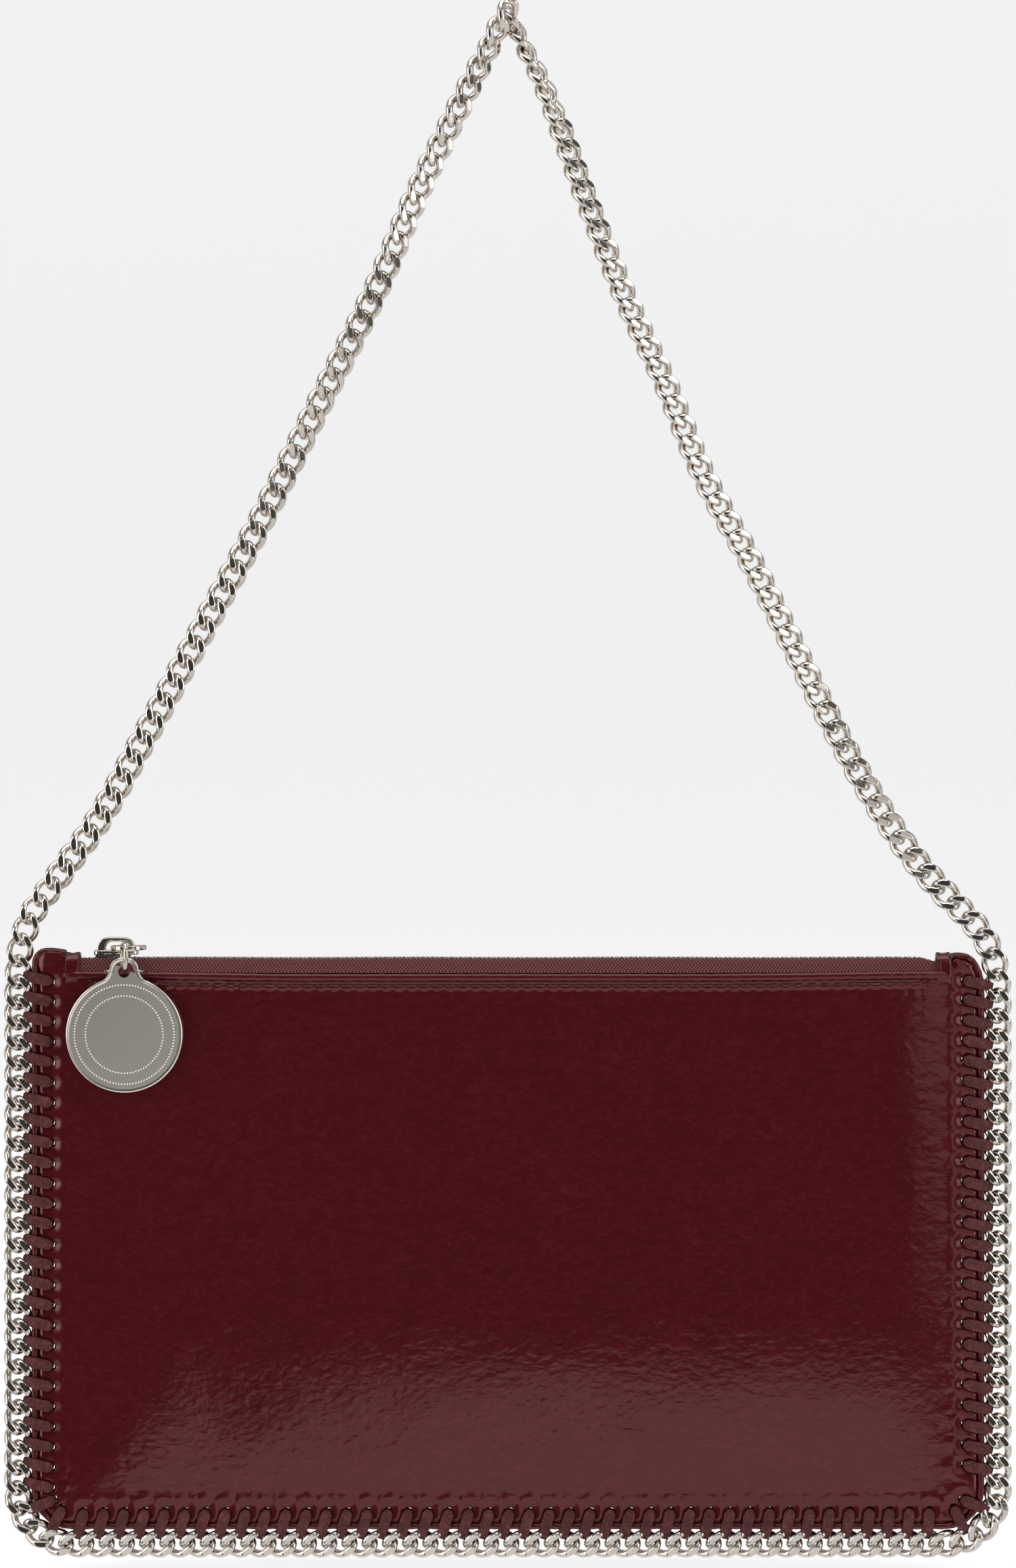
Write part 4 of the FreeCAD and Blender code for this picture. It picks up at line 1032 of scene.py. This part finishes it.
# top stops, bottom stop
st = [extrude("t%d" % i, [(-105.3, s * 1.15 - 0.7), (-103.4, s * 1.15 - 0.7), (-103.4, s * 1.15 + 0.7), (-105.3, s * 1.15 + 0.7)], "z", -239.6, -237.9, 0.3) for i, s in enumerate((-1, 1))]
piece(merge("top_stops", st), "zipm", "zip_metal", "pouch", "zip_top_stops")
piece(extrude("bottom_stop", [(102.6, -1.8), (105.5, -1.8), (105.5, 1.8), (102.6, 1.8)], "z", -239.9, -238.2, 0.35), "zipm", "zip_metal", "pouch", "zip_bottom_stop")


# ---------------------------------------------------------------------  leather end tabs folded over the zip ends
def end_tab(x0, x1, top, seed):
    """A strip wrapped over the mouth end, front to back."""
    path = [(-2.9, -243.2), (-3.3, -241.6), (-3.35, -239.8), (-3.05, -237.9), (-2.2, -236.7), (-0.9, -236.25), (0.9, -236.25), (2.2, -236.7), (3.05, -237.9), (3.35, -239.8), (3.3, -241.6), (2.9, -243.2)]
    P = np.array(through([(a, 0, b + (top + 236.25) * (1 if b > -238 else 0.5 if b > -240 else 0)) for a, b in path], 6))[:, [0, 2]]
    T = np.gradient(P, axis=0); T /= np.linalg.norm(T, axis=1, keepdims=True)
    Nn = np.stack([T[:, 1], -T[:, 0]], 1)
    w, xc, th = (x1 - x0) / 2, (x0 + x1) / 2, 0.5
    m = 28
    a = np.linspace(0, 2 * np.pi, m, endpoint=False)
    sx = np.sign(np.cos(a)) * np.abs(np.cos(a)) ** 0.35 * w
    sn = np.sign(np.sin(a)) * np.abs(np.sin(a)) ** 0.5 * th
    n1 = wnoise(np.stack([np.arange(len(P)) * 0.6, np.arange(len(P)) * 0.0], 1), 3.0, seed)
    V = []
    for i in range(len(P)):
        lump = 0.16 * np.sin(sx * 2.2 + n1[i] * 3) * (sn > 0) - 0.22 * np.exp(-((np.abs(sx) - w * 0.15) / 0.35) ** 2) * (sn > 0) * 0.4
        o = sn + lump
        V.append(np.stack([xc + sx * (1 + 0.04 * n1[i]), P[i, 0] + Nn[i, 0] * -o, P[i, 1] + Nn[i, 1] * -o], 1))
    F = rings((len(P), m), False)
    F = [list(f) for f in F] + [list(range(m))[::-1], [(len(P) - 1) * m + k for k in range(m)]]
    return np.concatenate(V), F


piece(solid_from("end_straps", [end_tab(-109.9, -106.2, -236.3, 3), end_tab(106.4, 110.1, -236.35, 4)]), "patent", "patent_leather", "pouch", "zip_end_tabs")

# ---------------------------------------------------------------------  pull link, jump ring, disc
px0, px1, py0, py1 = -98.45, -89.85, -8.75, 2.0


def tube_loop(name, pts, rad, m=14, sq=1.0, flat=None):
    Q = np.array(pts, float); n = len(Q)
    T = np.roll(Q, -1, 0) - np.roll(Q, 1, 0); T /= np.linalg.norm(T, axis=1, keepdims=True)
    c = Q.mean(0)
    nor = np.cross(Q[1] - Q[0], Q[n // 3] - Q[0]); nor /= np.linalg.norm(nor)
    B = np.tile(nor, (n, 1)); N = np.cross(T, B)
    a = np.linspace(0, 2 * np.pi, m, endpoint=False)
    ca = np.sign(np.cos(a)) * np.abs(np.cos(a)) ** sq; sa = np.sign(np.sin(a)) * np.abs(np.sin(a)) ** sq
    fl = flat or (rad, rad)
    V = Q[:, None] + N[:, None] * (ca * fl[0])[None, :, None] + B[:, None] * (sa * fl[1])[None, :, None]
    return new_mesh(name, V.reshape(-1, 3), rings((n, m), True), True, 60 if sq < 1 else None)


oval = rounded([(px0 + 0.5, py0 + 0.5), (px1 - 0.5, py0 + 0.5), (px1 - 0.5, py1 - 0.5), (px0 + 0.5, py1 - 0.5)], [3.4] * 4, 14)
dense = []
for i in range(len(oval)):
    a, b = np.array(oval[i]), np.array(oval[(i + 1) % len(oval)])
    k = max(1, int(np.linalg.norm(b - a) / 0.5))
    for j in range(k):
        q = a + (b - a) * j / k
        dense.append((q[0], q[1], -234.5))
piece(tube_loop("pull_oval", dense, 0.5, 24, 0.42, (0.55, 0.54)), "pull", "pull_metal", "pull", "pull_link")
RX, RY, RZ = -94.95, -8.25, -236.45
piece(tube_loop("split_ring", [(RX - 2.75 * math.cos(t) * math.sin(math.radians(13)), RY + 2.75 * math.cos(t) * math.cos(math.radians(13)), RZ + 3.15 * math.sin(t)) for t in np.linspace(0, 2 * np.pi, 72, endpoint=False)], 0.57, 16), "pull", "pull_metal", "ring", "jump_ring")


def disc():
    """Stamped tag: the outline with its neck, the outline's normals, and the profile of the rolled rim."""
    R, cx, cz = 14.5, RX, -255.9
    nh, nt, hz, hr = 3.7, -236.7, -240.27, 1.48
    zj = cz + math.sqrt(R * R - (nh + 1.7) ** 2)
    a0 = math.atan2(zj - cz, nh + 1.7)
    out = []
    for t in np.linspace(a0, -math.pi - a0, 150):
        out.append((cx + R * math.cos(t), cz + R * math.sin(t)))
    # smooth shoulder up the left of the neck
    for t in np.linspace(0, 1, 9)[1:]:
        x = -(nh + 1.7) + 1.7 * (1 - (1 - t) ** 1.6); z = zj + 2.6 * t ** 1.3
        out.append((cx + x, cz * 0 + z))
    top_c = nt - nh
    z_s = zj + 2.6
    for z in np.linspace(z_s, top_c, 5)[1:-1]:
        out.append((cx - nh, z))
    for t in np.linspace(math.pi, 0, 26):
        q, r_ = math.cos(t), math.sin(t)
        out.append((cx + nh * math.copysign(abs(q) ** 0.86, q), top_c + nh * abs(r_) ** 0.92))
    for z in np.linspace(top_c, z_s, 5)[1:-1]:
        out.append((cx + nh, z))
    for t in np.linspace(1, 0, 9)[:-1]:
        x = (nh + 1.7) - 1.7 * (1 - (1 - t) ** 1.6); z = zj + 2.6 * t ** 1.3
        out.append((cx + x, z))
    O = np.array(out)
    n = len(O)
    c = O.mean(0)
    # nested outlines: rim profile marching inwards by the outline's own normal
    T = np.roll(O, -1, 0) - np.roll(O, 1, 0); T /= np.linalg.norm(T, axis=1, keepdims=True)
    Nn = np.stack([T[:, 1], -T[:, 0]], 1)
    if ((O + Nn * 0.1 - [cx, cz]) ** 2).sum() > ((O - [cx, cz]) ** 2).sum():
        Nn = -Nn
    prof = [(0.0, 0.0), (0.02, 0.26), (0.10, 0.46), (0.24, 0.58), (0.40, 0.61), (0.56, 0.585), (0.70, 0.535), (0.84, 0.52), (1.0, 0.52), (1.2, 0.52)]
    return O, Nn, prof


def disc_mesh():
    R, cx, cz = 14.5, RX, -255.9
    bm = bmesh.new()
    O, Nn, prof = disc()
    n = len(O)
    loops = []
    for side in (-1, 1):
        rows = []
        for d, h in prof:
            Q = O + Nn * d
            rows.append([bm.verts.new((q[0] * MM, (RY + side * h) * MM, q[1] * MM)) for q in Q])
        loops.append(rows)
    f, b = loops
    for i in range(n):
        j = (i + 1) % n
        for k in range(len(prof) - 1):
            bm.faces.new([f[k][i], f[k][j], f[k + 1][j], f[k + 1][i]])
            bm.faces.new([b[k][i], b[k + 1][i], b[k + 1][j], b[k][j]])
    for i in range(n):     # close the waist
        j = (i + 1) % n
        if f[0][i] is not b[0][i]:
            bm.faces.new([f[0][i], b[0][i], b[0][j], f[0][j]])
    # flat fields with the neck hole, and the hole wall
    m = 40
    hole = []
    for side, rows in ((-1, f), (1, b)):
        hv = [bm.verts.new(((cx + 1.48 * math.cos(t)) * MM, (RY + side * 0.52) * MM, (-240.27 + 1.48 * math.sin(t)) * MM)) for t in np.linspace(0, 2 * np.pi, m, endpoint=False)]
        hole.append(hv)
        e1 = [bm.edges.new((rows[-1][i], rows[-1][(i + 1) % n])) if bm.edges.get((rows[-1][i], rows[-1][(i + 1) % n])) is None else bm.edges.get((rows[-1][i], rows[-1][(i + 1) % n])) for i in range(n)]
        e2 = [bm.edges.new((hv[i], hv[(i + 1) % m])) for i in range(m)]
        bmesh.ops.triangle_fill(bm, use_beauty=True, use_dissolve=False, edges=e1 + e2)
    for i in range(m):
        j = (i + 1) % m
        bm.faces.new([hole[0][i], hole[0][j], hole[1][j], hole[1][i]])
    bmesh.ops.remove_doubles(bm, verts=bm.verts, dist=1e-7)
    bmesh.ops.recalc_face_normals(bm, faces=bm.faces)
    me = bpy.data.meshes.new("tag"); bm.to_mesh(me); bm.free()
    me.polygons.foreach_set("use_smooth", np.ones(len(me.polygons), bool)); me.set_sharp_from_angle(angle=math.radians(30)); me.update()
    ob = bpy.data.objects.new("tag_plate", me); scene.collection.objects.link(ob)
    # two plain rings of small raised dots
    parts = []
    r0 = 0.2
    th = np.linspace(0, np.pi / 2, 4); ph = np.linspace(0, 2 * np.pi, 8, endpoint=False)
    base = np.array([(r0 * math.sin(t) * math.cos(p), -r0 * 0.7 * math.cos(t), r0 * math.sin(t) * math.sin(p)) for t in (0.15, 0.8, 1.5707) for p in ph])
    Fb = rings((3, 8), False)
    for rad, cnt in ((12.35, 108), (9.6, 84)):
        for k in range(cnt):
            a = 2 * math.pi * k / cnt
            parts.append((base + [cx + rad * math.cos(a), RY - 0.52, cz + rad * math.sin(a)], Fb))
    V, F = join(parts)
    dots = new_mesh("dots", V, F, True)
    return merge("round_tag", [ob, dots])


tag = disc_mesh()
lean_back = Matrix.Translation((0, RY * MM, -0.2393)) @ Matrix.Rotation(math.radians(3.6), 4, "X") @ Matrix.Translation((0, -RY * MM, 0.2393))
tag.data.transform(lean_back)
piece(tag, "tag", "pull_metal", "disc", "disc_charm")

# ---------------------------------------------------------------------  CAD nodes shown as they are
for nm, key in (("card_pocket", "lining"), ("pocket_welt", "plain")):
    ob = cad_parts[nm]
    ob.data.materials.clear(); ob.data.materials.append(M[key])

# =====================================================================  stage, camera, light
FLOOR_Z = -0.3895
pale, _nt, _b = shader("pale_sweep", Base_Color=(0.80, 0.80, 0.80, 1), Roughness=0.9, Specular_IOR_Level=0.1, Emission_Color=(1, 1, 1, 1), Emission_Strength=0.56)


def turned(name, prof, far):
    """Surface of revolution about Z, for the studio only."""
    m = 96
    a = np.linspace(0, 2 * np.pi, m, endpoint=False)
    V = np.concatenate([np.stack([r * np.cos(a), r * np.sin(a), np.full(m, z)], 1) for r, z in prof])
    F = [list(map(int, f)) for f in rings((len(prof), m), False)]
    me = bpy.data.meshes.new(name); me.from_pydata(V.tolist(), [], F); me.update()
    me.polygons.foreach_set("use_smooth", np.ones(len(me.polygons), bool))
    ob = bpy.data.objects.new(name, me); scene.collection.objects.link(ob)
    ob.data.materials.append(pale)
    ob.visible_glossy = False
    if far:
        ob.visible_diffuse = False
        ob.visible_shadow = False
    return ob


turned("floor_near", [(0.001, FLOOR_Z), (0.5, FLOOR_Z), (1.4, FLOOR_Z)], False)
turned("sweep_far", [(1.4, FLOOR_Z), (3.5, FLOOR_Z), (5.0, FLOOR_Z)] + [(5.0 + 2.0 * math.sin(t), FLOOR_Z + 2.0 - 2.0 * math.cos(t)) for t in np.linspace(0.12, math.pi / 2, 12)] + [(7.0, 9.0)], True)

cam_d = bpy.data.cameras.new("camera"); cam = bpy.data.objects.new("camera", cam_d); scene.collection.objects.link(cam)
cam_d.lens = 135; cam_d.sensor_width = 36; cam_d.sensor_fit = "AUTO"; cam_d.clip_end = 20; cam_d.clip_start = 0.05
cam.location = (0, -1.4618, -0.1939); cam.rotation_euler = (math.radians(90), 0, 0)
scene.camera = cam


def area(name, loc, target, size, power, color=(1, 1, 1), size_y=None):
    d = bpy.data.lights.new(name, "AREA"); d.shape = "RECTANGLE"; d.size = size; d.size_y = size_y or size; d.energy = power; d.color = color
    o = bpy.data.objects.new(name, d); scene.collection.objects.link(o)
    o.location = loc
    o.rotation_euler = (Vector(target) - Vector(loc)).to_track_quat("-Z", "Y").to_euler()
    return o


area("top_soft", (0.0, -0.25, 1.35), (0, 0.0, -0.25), 1.6, 12, size_y=1.4)
area("left_soft", (-1.3, -0.6, 0.1), (0, 0, -0.2), 0.8, 7, size_y=1.4)
area("right_soft", (1.3, -0.6, 0.1), (0, 0, -0.2), 0.8, 6, size_y=1.4)

w = bpy.data.worlds.new("studio"); scene.world = w; w.use_nodes = True
nt = w.node_tree; bg = nt.nodes["Background"]
tc = nt.nodes.new("ShaderNodeTexCoord"); sp = nt.nodes.new("ShaderNodeSeparateXYZ")
nt.links.new(tc.outputs["Generated"], sp.inputs[0])
# a darker area round the lens side, bright everywhere else
ax = math_(nt, "ARCTAN2", sp.outputs["X"], math_(nt, "MULTIPLY", sp.outputs["Y"], -1.0))     # radians, 0 towards the lens side
el = math_(nt, "ARCSINE", sp.outputs["Z"])


def edge(v, a, b):
    n = nt.nodes.new("ShaderNodeMapRange"); n.interpolation_type = "SMOOTHSTEP"
    n.inputs["From Min"].default_value = math.radians(a); n.inputs["From Max"].default_value = math.radians(b)
    nt.links.new(v, n.inputs["Value"])
    return n.outputs["Result"]


left_drop = math_(nt, "MAXIMUM", math_(nt, "MULTIPLY", math_(nt, "ADD", ax, math.radians(7.0)), -1.5), 0.0)
left_ease = math_(nt, "MINIMUM", math_(nt, "MAXIMUM", math_(nt, "MULTIPLY", math_(nt, "ADD", ax, math.radians(1.2)), -2.6), 0.0), math.radians(5.0))
el2 = math_(nt, "ADD", math_(nt, "ADD", el, left_drop), left_ease)
el_low = math_(nt, "MINIMUM", math_(nt, "MULTIPLY", math_(nt, "MAXIMUM", math_(nt, "SUBTRACT", math.radians(-2.9), el), 0.0), 3.6), math.radians(9.5))
dark = math_(nt, "MULTIPLY", math_(nt, "MULTIPLY", edge(ax, -46, -38), edge(math_(nt, "SUBTRACT", ax, el_low), 17.6, 16.4)), math_(nt, "MULTIPLY", edge(el2, -10.9, -9.9), edge(el, 42, 30)))
axb = math_(nt, "SUBTRACT", math.pi, math_(nt, "ABSOLUTE", ax))
back_dark = math_(nt, "MULTIPLY", math_(nt, "MULTIPLY", edge(axb, 17, 13), 0.9), math_(nt, "MULTIPLY", edge(el, -6.3, -5.3), edge(el, 42, 30)))
dark = math_(nt, "MAXIMUM", dark, back_dark)
strips = math_(nt, "ADD", math_(nt, "MULTIPLY", edge(ax, 36, 38), edge(ax, 56, 53)), math_(nt, "ADD", math_(nt, "MULTIPLY", edge(ax, 74, 77), edge(ax, 96, 92)), math_(nt, "MULTIPLY", edge(ax, -92, -88), edge(ax, -68, -72))))
strips = math_(nt, "MULTIPLY", strips, edge(el, -30, -22))
lid = math_(nt, "MULTIPLY", edge(el, 44, 47), edge(el, 62, 58))
hide = math_(nt, "MAXIMUM", math_(nt, "MAXIMUM", dark, math_(nt, "MULTIPLY", strips, 0.92)), math_(nt, "MULTIPLY", lid, 0.8))
lev = math_(nt, "SUBTRACT", 1.0, hide)
low = edge(el, -4.5, -6.5)
lev = math_(nt, "MULTIPLY", lev, math_(nt, "ADD", 0.74, math_(nt, "MULTIPLY", low, 0.26)))
nt.links.new(ramp(nt, lev, [(0.0, (0.055, 0.055, 0.055)), (1.0, (0.86, 0.86, 0.86))]), bg.inputs["Color"])
bg.inputs["Strength"].default_value = 1.0

scene.view_settings.view_transform = "Standard"
scene.view_settings.look = "None"
scene.view_settings.exposure = 0.0
